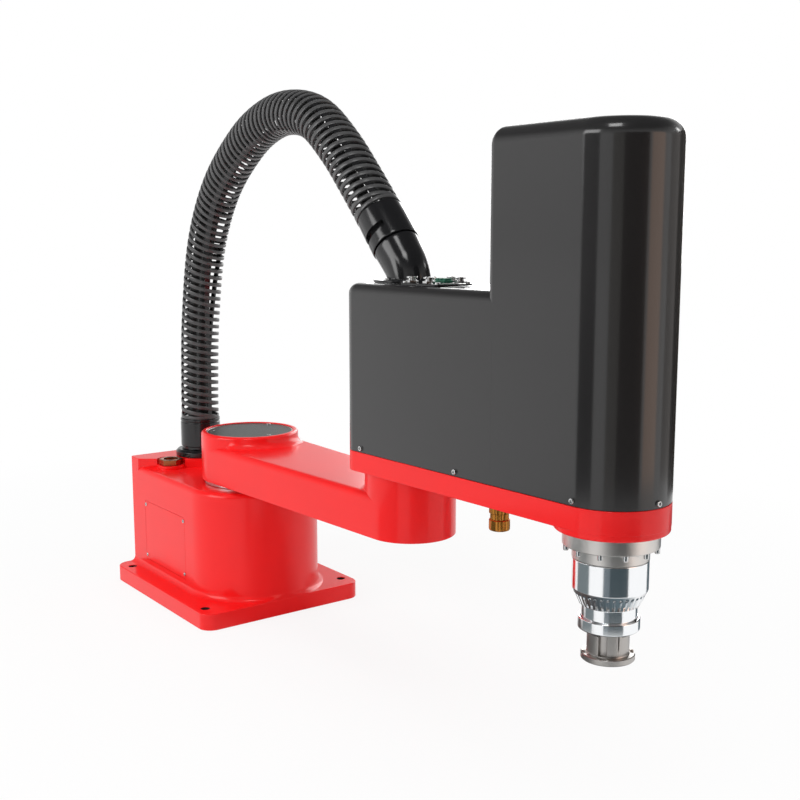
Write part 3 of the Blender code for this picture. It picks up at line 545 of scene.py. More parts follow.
STEEL = metal("ground_steel", "bearing_steel", (0.56, 0.56, 0.56), 0.22, Grain.TURNED)
SCREW = metal("screw_steel", "nickel", (0.62, 0.62, 0.62), 0.20, Grain.POLISHED)
BRASS = metal("turned_brass", "brass", (0.52, 0.215, 0.04), 0.26, Grain.TURNED, 0.12)
AGED = metal("aged_brass", "brass", (0.34, 0.115, 0.045), 0.24, Grain.TURNED, 0.10)


# ---- Pieces


def made_piece(name: str, skin: Skin, finish: Finish, sharp: float) -> bpy.types.Object:
    """Makes an object of a surface and its finish.

    Args:
        name: the piece's name.
        skin: its surface.
        finish: its finish.
        sharp: the angle in degrees past which an edge stays sharp.

    Returns:
        The piece.
    """
    piece = bpy.data.objects.new(name, skin.mesh(name, sharp))
    bpy.context.scene.collection.objects.link(piece)
    piece.data.materials.append(finish.material())
    log.info("%s: %d faces, %s", name, len(piece.data.polygons), finish.name)
    return piece


def finished(
    name: str, skin: Skin, finish: Finish, body: Body, replaces: Sequence[str] = (), sharp: float = 32.0
) -> None:
    """Makes a rigid piece, its normals weighted by face area, and hangs it on its body.

    Args:
        name: the piece's name.
        skin: its surface.
        finish: its finish.
        body: the body it moves with.
        replaces: the solids that it stands for.
        sharp: the angle in degrees past which an edge stays sharp.
    """
    piece = made_piece(name, skin, finish, sharp)
    weighted = piece.modifiers.new("Weighted", "WEIGHTED_NORMAL")
    weighted.keep_sharp = True
    weighted.weight = 60
    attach(piece, body.value)
    if replaces:
        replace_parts(piece, *replaces)


def turned_ring(
    name: str, section: Sequence[Pair], radii: float | Sequence[float], finish: Finish, body: Body,
    replaces: Sequence[str] = (), x: float = 0.0, count: int = 128, steps: int = 4,
) -> None:
    """Makes a ring-shaped piece: its section's rounded corners carried round an upright axis.

    Args:
        name: the piece's name.
        section: the corners of its section, as radius and height.
        radii: the radius of every corner, or of each.
        finish: its finish.
        body: the body it moves with.
        replaces: the solids that it stands for.
        x: where its axis is.
        count: points round it.
        steps: spans in each corner.
    """
    profile = soften(np.array(section), radii, steps, closed=True)
    finished(name, Skin().grid(turned(profile, count, x), closed=True), finish, body, replaces)


def screw_set(
    name: str, radius: float, height: float, seats: Iterable[tuple[Triple, Triple]], body: Body
) -> None:
    """Makes one piece of a set of like screws.

    Args:
        name: the set's name.
        radius, height: the size of a head.
        seats: each screw's place and the way it faces.
        body: the body it moves with.
    """
    head, skin = socket_screw(radius, height), Skin()
    for place, normal in seats:
        skin.solid(aimed(head, place, normal))
    finished(name, skin, SCREW, body)


# ---- Base


@dataclass
class BaseHousing:
    """The cast base: bolt-down plate, D-shaped tower with a filleted foot, and a raised rear ledge."""

    plate_x: Pair = (-0.149, 0.069)
    plate_half: float = 0.091
    plate_top: float = 0.0165
    plate_corner: float = 0.0138
    bolts: tuple[Pair, ...] = ((-0.1275, -0.08), (-0.1275, 0.08), (0.0475, -0.08), (0.0475, 0.08))
    bolt_radius: float = 0.0045
    bolt_chamfer: float = 0.0004
    tower: float = 0.0687
    rear: float = -0.1488
    split: float = -0.129
    foot: float = 0.006
    platform: float = 0.1265
    platform_edge: float = 0.005
    ledge: float = 0.1362
    ledge_corner: float = 0.003
    ledge_front: tuple[Pair, ...] = ((-0.0845, -0.0145), (-0.084, -0.0138), (-0.084, 0.0138), (-0.0845, 0.0145))
    plug: Pair = (-0.1057, -0.0405)
    plug_across: float = 0.0132
    plug_bore: float = 0.0085
    plug_top: float = 0.1368
    boss: float = 0.015
    boss_top: float = 0.1305
    bite: float = 0.0155
    panel_x: Pair = (-0.114, -0.0174)
    panel_z: Pair = (0.0266, 0.0923)
    panel_seat: float = 0.0022

    def tower_plan(self, inset: float) -> Array:
        """The tower ahead of the ledge: straight sides into a half round front, its back face fixed.

        The front is cut flat just past the tower's own radius, so that the foot's fillet stays on the plate.
        """
        radius = self.tower - inset
        front = arc(0, 0, radius, -90, 90, 73)
        front[:, 0] = np.minimum(front[:, 0], self.tower + 0.0001)
        return np.concatenate([[[self.split, -radius]], front, [[self.split, radius]]])

    def ledge_plan(self, inset: float) -> Array:
        """The raised rear, its front edge slanting forward, with the plug's round bite in it."""
        side = self.tower - inset
        run = np.array([-0.084, -0.014]) - (self.split, -self.tower)
        heading = math.degrees(math.atan2(run[1], run[0]))
        corner = self.ledge_corner
        return np.concatenate([
            [[self.split, -side]], arc(*self.plug, self.bite, heading + 180, heading, 33), self.ledge_front,
            [[self.split, side]], arc(self.rear + corner, side - corner, corner, 90, 180, 7),
            arc(self.rear + corner, corner - side, corner, 180, 270, 7),
        ])

    def foot_rows(self) -> tuple[Array, Array]:
        """Insets and heights of the concave fillet at the foot, a quarter circle outwards."""
        angle = quarter(8)
        inset = -self.foot * (1 - np.sin(angle))
        height = self.plate_top + self.foot * (1 - np.cos(angle))
        return np.concatenate([[-self.foot], inset]), np.concatenate([[self.plate_top - 0.004], height])

    def tower_rows(self, top: float, edge: float) -> tuple[Array, Array]:
        """Insets and heights from the foot's fillet up to a rounded top edge."""
        foot_inset, foot_height = self.foot_rows()
        angle = quarter(8)
        inset = np.concatenate([foot_inset, edge * (1 - np.cos(angle))])
        return inset, np.concatenate([foot_height, top - edge * (1 - np.sin(angle))])

    def plate(self, skin: Skin) -> None:
        """Adds the plate with its four bolt holes, each with a small chamfer."""
        plan = box_plan(self.plate_x, (-self.plate_half, self.plate_half), self.plate_corner)
        walls = stack(plan, *edge_rows(0.0, self.plate_top, 0.0004, 0.0009, 4))
        wide = self.bolt_chamfer
        levels = ((0.0, 0.0), (0.0, self.plate_top - wide), (wide, self.plate_top))
        bores = [
            np.stack([lifted(circle(self.bolt_radius + grown, 40, x, y), z) for grown, z in levels])
            for x, y in self.bolts
        ]
        skin.grid(walls).lid(walls[0], [bore[0] for bore in bores]).lid(walls[-1], [bore[-1] for bore in bores])
        skin.grid(np.stack(bores))

    def tower_walls(self, skin: Skin) -> None:
        """Adds the tower, its near side a flat sheet with the panel's seat sunk into it."""
        walls = stack(self.tower_plan, *self.tower_rows(self.platform, self.platform_edge))
        high = len(self.foot_rows()[0])
        skin.lid(walls[0]).lid(walls[-1])
        skin.grid(np.roll(walls, -1, axis=1), around=False)
        skin.grid(walls[:high, :2], around=False).grid(walls[high:, :2], around=False)
        mouth, back = self.panel_ring(0.0, 0.0), self.panel_ring(0.0, self.panel_seat)
        side = np.stack([walls[high - 1, 0], walls[high - 1, 1], walls[high, 1], walls[high, 0]])
        skin.lid(side, [mouth]).grid(np.stack([mouth, back])).lid(back)

    def body(self) -> None:
        """The casting: plate, tower, ledge and the boss under the plug."""
        skin = Skin()
        self.plate(skin)
        self.tower_walls(skin)
        skin.solid(stack(self.ledge_plan, *self.tower_rows(self.ledge, 0.0006)))
        skin.solid(turned(disc(self.boss, 0.124, self.boss_top, 0.0006), 72, *self.plug))
        finished("base_body", skin, RED, Body.BASE, ["base_casting"])

    def panel_ring(self, inset: float, depth: float) -> Array:
        """The side panel's outline, drawn in, at a depth in the tower's side."""
        (x0, x1), (z0, z1) = self.panel_x, self.panel_z
        flat = rectangle(x0 + inset, x1 - inset, z0 + inset, z1 - inset, 0.0015)
        return np.stack([flat[:, 0], np.full(len(flat), depth - self.tower), flat[:, 1]], axis=1)

    def side_panel(self) -> None:
        """The flush panel and its four screws."""
        steps = ((0.0005, 0.0), (0.0003, 0.0002), (0.0003, 0.0019))
        skin = Skin().solid(np.stack([self.panel_ring(inset, depth) for inset, depth in steps]))
        finished("side_panel", skin, RED, Body.BASE, ["base_side_panel"])
        seats = [((x, -self.tower, z), (0, -1, 0)) for x in (-0.1107, -0.0195) for z in (0.032, 0.0885)]
        screw_set("side_panel_screws", 0.0019, 0.0009, seats, Body.BASE)

    def brass_plug(self) -> None:
        """The hexagonal plug: bevelled hexagon with a bored top."""
        x, y = self.plug
        seat, top, bore = self.boss_top + BED, self.plug_top, self.plug_bore

        def hexagon(inset: float) -> Array:
            """The plug's six sides, corners eased."""
            return soften(circle(self.plug_across - inset, 6, x, y), 0.0007, 4, closed=True)

        walls = stack(hexagon, *edge_rows(seat, top, 0.0003, 0.0008, 4))
        inside = turned(np.array([
            [bore, top], [bore - 0.0005, top - 0.0005], [bore - 0.0007, seat + 0.003], [HAIR, seat + 0.0025],
        ]), 48, x, y)
        skin = Skin().grid(walls).lid(walls[0]).lid(walls[-1], [lifted(circle(bore, 48, x, y), top)])
        skin.grid(inside).lid(inside[-1])
        finished("brass_plug", skin, AGED, Body.BASE, ["base_brass_plug"])

    def bolt_bores(self) -> None:
        """Thin dark rings inside the four bolt holes: painted shade, standing for the shadow that falls in them."""
        low, high = 0.0006, self.plate_top - 0.0006
        outside, inside = self.bolt_radius - 0.00005, self.bolt_radius - 0.0003
        profile = np.array([[inside, low], [outside, low], [outside, high], [inside, high]])
        skin = Skin()
        for x, y in self.bolts:
            skin.grid(turned(profile, 40, x, y), closed=True)
        # These rings are painted shade, in the dark motor finish.
        finished("bolt_bores", skin, MOTOR, Body.BASE)

    def reducer_ring(self) -> None:
        """The bright flange of the first reducer, between the base and the first arm."""
        bore, spigot, rim, low, seat, top = 0.0262, 0.0355, 0.0470, 0.1020, self.platform + BED, 0.1302
        section = [(bore, low), (spigot, low), (spigot, seat), (rim, seat), (rim, top), (bore, top)]
        turned_ring("reducer_ring", section, 0.0003, STEEL, Body.BASE, ["j1_reducer_housing"], steps=3)

    def build(self) -> None:
        """Makes the base's pieces."""
        self.body()
        self.side_panel()
        self.brass_plug()
        self.bolt_bores()
        self.reducer_ring()


# ---- Arms


@dataclass
class FirstArm:
    """The first link: two hubs, a rounded top edge and a sharp lower one, and the round cap."""

    length: float = ELBOW_AXIS_X
    big: float = 0.0499
    small: float = 0.0385
    bottom: float = 0.131
    top: float = 0.1682
    edge: float = 0.006
    hub_top: float = 0.1800
    far_top: float = 0.1862
    far_mouth: Pair = (0.0300, 0.1750)
    cap: float = 0.0443
    cap_seat: float = 0.1762
    cap_top: float = 0.1790
    cap_screws: float = 0.0385

    @property
    def lean(self) -> float:
        """The angle of the tapering sides, in radians."""
        return math.asin((self.big - self.small) / self.length)

    def plan(self, inset: float) -> Array:
        """The link's outline: two arcs about the hubs and their common tangents."""
        lean = math.degrees(self.lean)
        near = arc(0, 0, self.big - inset, 90 - lean, 270 + lean, 61)
        far = arc(self.length, 0, self.small - inset, -90 + lean, 90 - lean, 49)
        share = np.linspace(0, 1, 25)[1:-1, None]
        out, back = near[-1:] + (far[:1] - near[-1:]) * share, far[-1:] + (near[:1] - far[-1:]) * share
        return np.concatenate([near, out, far, back])

    def surface_height(self, x: Array, y: Array) -> Array:
        """Height of the link's top at a point: flat, then down a quarter circle towards the outline.

        The distance in from the outline is that from the line through the hub centres, taken off the
        half width there.

        Args:
            x, y: the points' places.

        Returns:
            The height at each.
        """
        share = np.clip(x / self.length, 0, 1)
        half = self.big + (self.small - self.big) * share
        depth = np.clip(half - np.hypot(x - share * self.length, y), 0, self.edge)
        return self.top - self.edge + np.sqrt(self.edge**2 - (self.edge - depth) ** 2)

    def hub(
        self, skin: Skin, x: float, radius: float, top: float, rim: float, side: float, fillet: float, mouth: Pair
    ) -> None:
        """Adds a hub whose foot flares onto the link in a concave quarter circle.

        The flare is as wide as the link reaches past the hub in each direction, up to the fillet's radius.

        Args:
            skin: the casting's surface.
            x: the hub's axis.
            radius, top, rim: its radius, its top and the radius of its top edge.
            side: +1 if the link leaves along +X, -1 if along -X.
            fillet: the flare's radius where there is room for it.
            mouth: the radius and level of the seat sunk into its top.
        """
        columns = 144
        angle = spokes(columns)
        away = np.abs((angle + math.pi) % (2 * math.pi) - math.pi)
        off = away if side > 0 else math.pi - away
        opening = 0.5 * math.pi - side * self.lean
        reach = np.where(off < opening, radius / np.cos(np.clip(opening - off, 0, 1.2)) - radius, 0.0)
        size = np.minimum(fillet, reach)
        outside = radius + size
        foot = self.surface_height(x + outside * np.cos(angle), outside * np.sin(angle))
        foot = np.where(size > 0, foot, self.top - self.edge)
        turn, crown = quarter(8)[:, None], quarter(6)[:, None]
        seat = np.array([[mouth[0] + 0.0004, top], [mouth[0], top - 0.0004], mouth])
        r = [radius - 0.0002, radius + size * (1 - np.sin(turn)), radius - rim * (1 - np.cos(crown)), seat[:, :1]]
        z = [self.bottom + 0.001, foot + size * (1 - np.cos(turn)), top - rim * (1 - np.sin(crown)), seat[:, 1:]]
        rows = (1, len(turn), len(crown), len(seat))
        full = [
            np.concatenate([np.broadcast_to(part, (count, columns)) for part, count in zip(parts, rows)])
            for parts in (r, z)
        ]
        skin.solid(polar(full[0], angle, full[1], x))

    def casting(self) -> None:
        """The casting, with the cap's seat and the far hub's mouth sunk into it."""
        skin = Skin()
        skin.solid(stack(self.plan, *edge_rows(self.bottom, self.top, 0.0005, self.edge)))
        self.hub(skin, 0.0, self.big, self.hub_top, 0.0030, 1.0, 0.009, (self.cap + BED, self.cap_seat))
        self.hub(skin, self.length, self.small, self.far_top, 0.0010, -1.0, 0.004, self.far_mouth)
        finished("arm1_body", skin, RED, Body.FIRST_ARM, ["arm1_casting"])

    def round_cap(self) -> None:
        """The dark cap, its bright turned rim, and three screws."""
        seat, top, inner = self.cap_seat + BED, self.cap_top, 0.0430
        rim = [(inner, seat), (self.cap, seat), (self.cap, top), (inner, top)]
        turned_ring("cap_rim", rim, 0.0004, BRIGHT, Body.FIRST_ARM, steps=3)
        profile = [(inner - HAIR, seat), (inner, seat + 0.0002), (inner, top - 0.0002), (inner - HAIR, top - 0.0001)]
        finished("cap_disc", Skin().solid(turned(np.array(profile))), GRAPHITE, Body.FIRST_ARM, ["j1_cap"])
        places = lifted(circle(self.cap_screws, 3), top)
        screw_set("cap_screws", 0.0021, 0.0008, [(place, (0, 0, 1)) for place in places], Body.FIRST_ARM)

    def build(self) -> None:
        """Makes the first arm's pieces."""
        self.casting()
        self.round_cap()


@dataclass
class SecondArm:
    """The second link: a shallow red tray under a tall black cover, x counted from its own joint."""

    joint: float = ELBOW_AXIS_X
    reach: float = 0.225
    nose: float = 0.0398
    half: float = 0.0477
    rear: float = -0.029
    corner: float = 0.014
    low: float = 0.1875
    seam: float = 0.2041
    pad: float = 0.0396
    pad_levels: Pair = (0.1833, 0.1900)
    cover_low: float = 0.3414
    cover_tall: float = 0.4534
    tall_rear: float = 0.1409
    tall_corner: float = 0.008
    low_edge: float = 0.0085
    tall_edge: float = 0.0125
    wall: float = 0.003
    side_screws: Pair = (-0.004, 0.111)
    nose_screws: Triple = (-88.0, 0.0, 88.0)
    screw_lift: float = 0.0037

    @property
    def lean(self) -> float:
        """The angle of the tapering sides, in radians."""
        return math.asin((self.half - self.nose) / self.reach)

    def side(self, x: float, inset: float = 0.0) -> float:
        """Half the arm's width at x, less an inset square to the side."""
        return (self.nose + (self.reach - x) * math.sin(self.lean) - inset) / math.cos(self.lean)

    def front(self, inset: float) -> Array:
        """The round nose about the quill."""
        lean = math.degrees(self.lean)
        return arc(self.joint + self.reach, 0, self.nose - inset, -90 + lean, 90 - lean, 65)

    def tail(self, rear: float, corner: float, inset: float) -> Array:
        """The two rear corners, from the far side round to the near one.

        Args:
            rear: the back's place.
            corner: the corners' radius, which shrinks as the outline is drawn in.
            inset: how far it is drawn in.

        Returns:
            Points, one row each.
        """
        lean = math.degrees(self.lean)
        size = max(corner - inset, 0.0008)
        middle = rear + inset + size
        offset = self.side(middle, inset) - size / math.cos(self.lean)
        x = self.joint + middle
        return np.concatenate([
            arc(x, offset, size, 90 - lean, 180, 15), arc(x, -offset, size, 180, 270 + lean, 15),
        ])

    def plan(self, inset: float) -> Array:
        """The whole arm's outline."""
        return np.concatenate([self.front(inset), self.tail(self.rear, self.corner, inset)])

    def tall_plan(self, inset: float) -> Array:
        """The tall box's outline."""
        return np.concatenate([self.front(inset), self.tail(self.tall_rear, self.tall_corner, inset)])

    def low_plan(self, inset: float) -> Array:
        """The low box's outline, which ends where the tall box's flat sides begin."""
        end = self.tall_rear + self.tall_corner * (1 - math.sin(self.lean))
        half, x = self.side(end, inset), self.joint + end
        return np.concatenate([[[x, -half], [x, half]], self.tail(self.rear, self.corner, inset)])

    def tray(self) -> None:
        """The red tray and the round pad under its nose."""
        skin = Skin().solid(stack(self.plan, *edge_rows(self.low, self.seam, 0.0007, 0.0004)))
        skin.solid(turned(disc(self.pad, *self.pad_levels, 0.0016), 128, self.joint + self.reach))
        finished("arm2_tray", skin, RED, Body.SECOND_ARM, ["arm2_casting"])

    def shell(self, skin: Skin, plan: Plan, top: float, edge: float) -> None:
        """Adds one open-bottomed box of even wall, its top edge rounded outside and in.

        Args:
            skin: the cover's surface.
            plan: the box's outline.
            top: its top.
            edge: the radius of its top edge.
        """
        bottom = self.seam + BED
        outer = stack(plan, *edge_rows(bottom, top, 0.0004, edge, 10))
        inset, height = edge_rows(bottom, top - self.wall, 0.0, edge - self.wall, 10)
        inner = stack(plan, inset + self.wall, height)
        skin.grid(outer).lid(outer[-1]).grid(inner).lid(inner[-1]).grid(np.stack([inner[0], outer[0]]))

    def cover(self) -> None:
        """The black cover with its row of side screws."""
        skin = Skin()
        self.shell(skin, self.low_plan, self.cover_low, self.low_edge)
        self.shell(skin, self.tall_plan, self.cover_tall, self.tall_edge)
        finished("cover_shell", skin, BLACK, Body.SECOND_ARM, ["arm2_cover"])
        level, lean = self.seam + self.screw_lift, self.lean
        seats = [
            ((self.joint + x, sign * self.side(x), level), (math.sin(lean), sign * math.cos(lean), 0))
            for x in self.side_screws for sign in (-1, 1)
        ]
        for angle in np.radians(self.nose_screws):
            east, north = math.cos(angle), math.sin(angle)
            place = (self.joint + self.reach + self.nose * east, self.nose * north, level)
            seats.append((place, (east, north, 0)))
        screw_set("cover_screws", 0.0021, 0.0015, seats, Body.SECOND_ARM)

    def build(self) -> None:
        """Makes the second arm's tray and cover."""
        self.tray()
        self.cover()


@dataclass
class TopFittings:
    """What stands on the low cover: the conduit's flange, the port panel, fittings and connector."""

    deck: float = 0.3414 + BED
    flange_radius: float = 0.0305
    flange_screws: float = 0.0265
    flange_top: float = 0.3447
    panel_x: Pair = (0.3070, 0.3540)
    panel_y: Pair = (-0.0360, 0.0010)
    panel_thick: float = 0.0015
    fittings: tuple[Pair, ...] = ((0.3135, -0.028), (0.3346, -0.028), (0.3335, -0.004), (0.3465, -0.007))
    block: tuple[float, float, float, float] = (0.3275, 0.3415, -0.0185, -0.0095)
    seat: float = 0.0018

    def flange(self) -> None:
        """The conduit's round flange, a low ring round its mouth, and four screws."""
        seat, rim, top, bore = self.deck, self.flange_radius, self.flange_top, 0.0150
        plate = seat + 0.0022
        section = [(bore, seat), (rim, seat), (rim, plate), (0.0218, plate), (0.0214, top), (bore, top)]
        radii = [0.0001, 0.0002, 0.0006, 0.0003, 0.0005, 0.0002]
        turned_ring("conduit_flange_top", section, radii, PLASTIC, Body.SECOND_ARM, ["elbow_flange"], ELBOW_AXIS_X)
        places = lifted(arc(ELBOW_AXIS_X, 0.0, self.flange_screws, -85, 185, 4), plate)
        seats = [(place, (0, 0, 1)) for place in places]
        screw_set("conduit_flange_screws", 0.0022, 0.0016, seats, Body.SECOND_ARM)

    def port_panel(self) -> None:
        """The panel and its corner screws."""
        seat, top, margin = self.deck, self.deck + self.panel_thick, 0.0035
        walls = stack(box_plan(self.panel_x, self.panel_y, 0.004), *edge_rows(seat, top, 0.0001, 0.0003, 3))
        finished("port_panel", Skin().solid(walls), PLASTIC, Body.SECOND_ARM, ["interface_panel"])
        (x0, x1), (y0, y1) = self.panel_x, self.panel_y
        seats = [((x, y, top), (0, 0, 1)) for x in (x0 + margin, x1 - margin) for y in (y0 + margin, y1 - margin)]
        screw_set("port_panel_screws", 0.0018, 0.0014, seats, Body.SECOND_ARM)

    def air_fitting(self, index: int, x: float, y: float) -> None:
        """One push-in fitting: hexagon, stepped barrel and the mouth of its bore.

        Args:
            index: its number.
            x, y: its place.
        """
        seat = self.deck + self.seat
        hexagon = stack(
            lambda inset: soften(circle(0.0050 - inset, 6, x, y), 0.0003, 2, closed=True),
            *edge_rows(seat, seat + 0.0017, 0.0001, 0.0003, 2),
        )
        barrel = np.array([
            [0.0034, 0.0010], [0.0034, 0.0022], [0.0028, 0.0024], [0.0028, 0.0032], [0.0043, 0.0034],
            [0.0043, 0.0047], [0.0022, 0.0047], [0.0020, 0.0020], [0.0003, 0.0020],
        ]) + (0, seat)
        skin = Skin().solid(hexagon).solid(turned(soften(barrel, 0.0002, 2), 28, x, y))
        finished(f"push_fitting_{index}", skin, SCREW, Body.SECOND_ARM, [f"air_fitting_{index}"])

    def connector(self) -> None:
        """The green terminal block: a stepped body with a row of square ways."""
        x0, x1, y0, y1 = self.block
        seat, half, margin = self.deck + self.seat, 0.0018, 0.0012

        def box(left: float, right: float, near: float, far: float, low: float, high: float, foot: float) -> Array:
            """One of the block's boxes, its corners' radius kept as it is drawn in."""
            return stack(
                lambda inset: rectangle(left + inset, right - inset, near + inset, far - inset, 0.0008, 3),
                *edge_rows(seat + low, seat + high, foot, 0.0004, 2),
            )

        skin = Skin().solid(box(x0, x1, y0, y1, 0.0, 0.0020, 0.0001))
        for middle in np.linspace(x0 + 0.0026, x1 - 0.0026, 3):
            skin.solid(box(middle - half, middle + half, y0 + margin, y1 - margin, 0.0014, 0.0036, 0.0))
        finished("terminal_block", skin, GREEN, Body.SECOND_ARM, ["signal_connector"])

    def build(self) -> None:
        """Makes the fittings."""
        self.flange()
        self.port_panel()
        for index, (x, y) in enumerate(self.fittings, 1):
            self.air_fitting(index, x, y)
        self.connector()


@dataclass
class Muffler:
    """The brass muffler under the second arm: knurled head, groove and a plain rounded barrel."""

    x: float = 0.4037
    y: float = -0.0150
    radius: float = 0.0080
    foot: float = 0.1630
    top: float = 0.1872
    ridge: float = 0.0007

    def build(self) -> None:
        """Makes the muffler: the radius is cut by a ridged wave where the profile is knurled.

        Each level of the profile has its radius, its height and its share of the ridges' depth.
        """
        full, foot, top = self.radius, self.foot, self.top
        levels = np.array([
            [0.0003, foot, 0], [full - 0.0017, foot, 0], [full - 0.0005, foot + 0.0005, 0],
            [full, foot + 0.0016, 0.3], [full, foot + 0.0082, 0.3], [full - 0.0003, foot + 0.0085, 0.3],
            [full - 0.0009, foot + 0.0086, 1], [full - 0.0009, foot + 0.0130, 1], [full - 0.0003, foot + 0.0132, 1],
            [full, foot + 0.0136, 1], [full, top - 0.0006, 1], [full - 0.0004, top, 0], [0.0003, top, 0],
        ])
        angle = spokes(144)
        r = levels[:, :1] - levels[:, 2:] * self.ridge * np.abs(np.sin(6 * angle)) ** 3
        skin = Skin().solid(polar(r, angle, levels[:, 1:2], self.x, self.y))
        finished("muffler_body", skin, BRASS, Body.SECOND_ARM, ["brass_muffler"], 24.0)


# ---- Conduit


@dataclass
class Conduit:
    """The slotted conduit on its arch: three wound strips held together by three spines, with cables inside."""

    radius: float = 0.0205
    bore: float = 0.0183
    pitch: float = 0.0079
    strips: int = 3
    band: float = 0.0041
    spines_count: int = 3
    spine: float = 0.0026
    rim: float = 0.0035
    knots: tuple[Pair, ...] = (
        (-0.113, 0.1783), (-0.112, 0.215), (-0.106, 0.287), (-0.087, 0.368), (-0.050, 0.4275),
        (0.004, 0.4690), (0.050, 0.4880), (0.0925, 0.4925), (0.1350, 0.4830), (0.1735, 0.4555),
        (0.2030, 0.4270), (0.2314, 0.3973),
    )
    phase_at: tuple[float, ...] = (0.0, 0.10, 0.25, 0.35, 0.42, 0.60, 0.75, 1.0)
    phase: tuple[float, ...] = (187.0, 184.0, 168.0, 150.0, 141.0, 148.0, 154.5, 154.5)
    # Each cable's radius, its distance from the arch's middle, and its angles at both ends.
    cables: tuple[tuple[float, float, float, float], ...] = (
        (0.0055, 0.0110, 110.0, 71.0), (0.0054, 0.0110, -41.6, -46.0),
    )
    foot: float = 0.1362 + BED
    foot_height: float = 0.0072
    sleeve_top: float = 0.178

    def route(self) -> tuple[Array, Array]:
        """The arch as close points in the plane of the arm, and the length up to each."""
        flat = smooth_path(np.array(self.knots), 1200)
        return flat, np.concatenate([[0], np.cumsum(np.linalg.norm(np.diff(flat, axis=0), axis=1))])

    @property
    def length(self) -> float:
        """The arch's length."""
        return self.route()[1][-1]

    def around(self, reach: Array, angle: Array, r: Array) -> Array:
        """Points about the arch.

        The spoke is cos(angle) times the arch's outward normal plus sin(angle) times -Y.

        Args:
            reach: the length along the arch.
            angle: the angle round it from its outer side, in radians.
            r: the distance from its middle.

        Returns:
            Points in a grid of the three's common shape.
        """
        reach, angle, r = np.broadcast_arrays(reach, angle, r)
        flat, length = self.route()
        slope = np.gradient(flat, length, axis=0)
        x, z, dx, dz = (np.interp(reach, length, v) for v in (*flat.T, *slope.T))
        size = np.hypot(dx, dz)
        return np.stack([
            x - r * np.cos(angle) * dz / size, -r * np.sin(angle), z + r * np.cos(angle) * dx / size,
        ], axis=-1)

    def winding(self, skin: Skin) -> None:
        """Adds the wound strips, whose angle falls by a full turn in each lead of the arch."""
        length, lead = self.length, self.strips * self.pitch
        log.info("conduit: %.3f m long, %d strips of %.1f mm lead", length, self.strips, 1000 * lead)
        half, mid, end = 0.5 * self.band, 0.5 * (self.radius + self.bore), 0.0003
        section = rectangle(-half, half, self.bore - mid, self.radius - mid, 0.0007, 2)
        reach = np.arange(half, length - half, lead / 44)
        place = np.clip(reach[:, None] + section[None, :, 0], end, length - end)
        for number in range(self.strips):
            angle = 2 * math.pi * (number / self.strips - reach / lead)
            skin.solid(self.around(place, angle[:, None], mid + section[:, 1]))

    def rims(self, skin: Skin) -> None:
        """Adds a plain ring at each end of the conduit."""
        section = rectangle(0.0, self.rim, self.bore - 0.0001, self.radius + 0.0001, 0.0005, 2)
        for offset in (0.0, self.length - self.rim):
            skin.grid(self.around(offset + section[:, :1], spokes(64), section[:, 1:]), closed=True)

    def spines(self, skin: Skin) -> None:
        """Adds the spines, which drift round the path as the conduit twists along its arch."""
        length = self.length
        reach = np.linspace(0.001, length - 0.001, 240)
        drift = np.radians(np.interp(reach / length, self.phase_at, self.phase))
        half = self.spine / self.radius
        section = rectangle(-half, half, self.bore - 0.0006, self.radius - 0.0004, 0.0003, 1)
        for number in range(self.spines_count):
            turn = drift[:, None] + 2 * math.pi * number / self.spines_count + section[None, :, 0]
            skin.solid(self.around(reach[:, None], turn, section[:, 1]))

    def wiring(self, skin: Skin) -> None:
        """Adds the cables inside: round tubes at a distance from the arch's middle, drifting round it."""
        length = self.length
        reach = np.linspace(0.0005, length - 0.0005, 160)
        for size, away, first, last in self.cables:
            drift = np.radians(np.interp(reach / length, (0.0, 0.3, 0.7, 1.0), (first, first, last, last)))
            radial, across = (circle(size, 20) + (away, 0.0)).T
            turn = drift[:, None] + np.arctan2(across, radial)[None]
            skin.solid(self.around(reach[:, None], turn, np.hypot(radial, across)))

    def bent(self, name: str, skin: Skin, finish: Finish) -> bpy.types.Object:
        """Makes a piece of the conduit and bakes its transform into its mesh.

        Args:
            name: the piece's name.
            skin: its surface.
            finish: its finish.

        Returns:
            The piece.
        """
        piece = made_piece(name, skin, finish, 40)
        start, end = ((x, 0.0, z) for x, z in (self.knots[0], self.knots[-1]))
        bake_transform(piece)
        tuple(start)
        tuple(end)
        return piece

    def hose(self) -> None:
        """The conduit: its strips with a plain ring at each end, the spines that hold them, the cables."""
        strips, ribs, wires = Skin(), Skin(), Skin()
        self.winding(strips)
        self.rims(strips)
        self.spines(ribs)
        self.wiring(wires)
        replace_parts(self.bent("conduit_strips", strips, HOSE), "cable_conduit")
        self.bent("conduit_spines", ribs, PLASTIC)
        self.bent("conduit_cables", wires, CABLE)

    def lower_end(self) -> None:
        """The flange and sleeve that hold the conduit on the base's ledge."""
        x, seat, top = self.knots[0][0], self.foot, self.foot + self.foot_height
        flange = [(0.0140, seat), (0.0275, seat), (0.0275, seat + 0.0050), (0.0250, top), (0.0140, top)]
        turned_ring("conduit_foot", flange, 0.0006, PLASTIC, Body.BASE, ["conduit_base_flange"], x)
        bore, neck, full, ring = 0.0172, 0.0207, 0.0216, 0.0210
        foot, top = top + BED, self.sleeve_top
        sleeve = [
            (bore, foot), (neck, foot), (neck, foot + 0.0030), (full, foot + 0.0036), (full, top - 0.0045),
            (ring, top - 0.0040), (ring, top - 0.0030), (full, top - 0.0025), (full, top), (bore, top),
        ]
        turned_ring(
            "conduit_sleeve", sleeve, 0.0004, PLASTIC, Body.BASE, ["conduit_base_sleeve"], x, steps=3,
        )

    def build(self) -> None:
        """Makes the conduit, its cables and its lower end."""
        self.hose()
        self.lower_end()


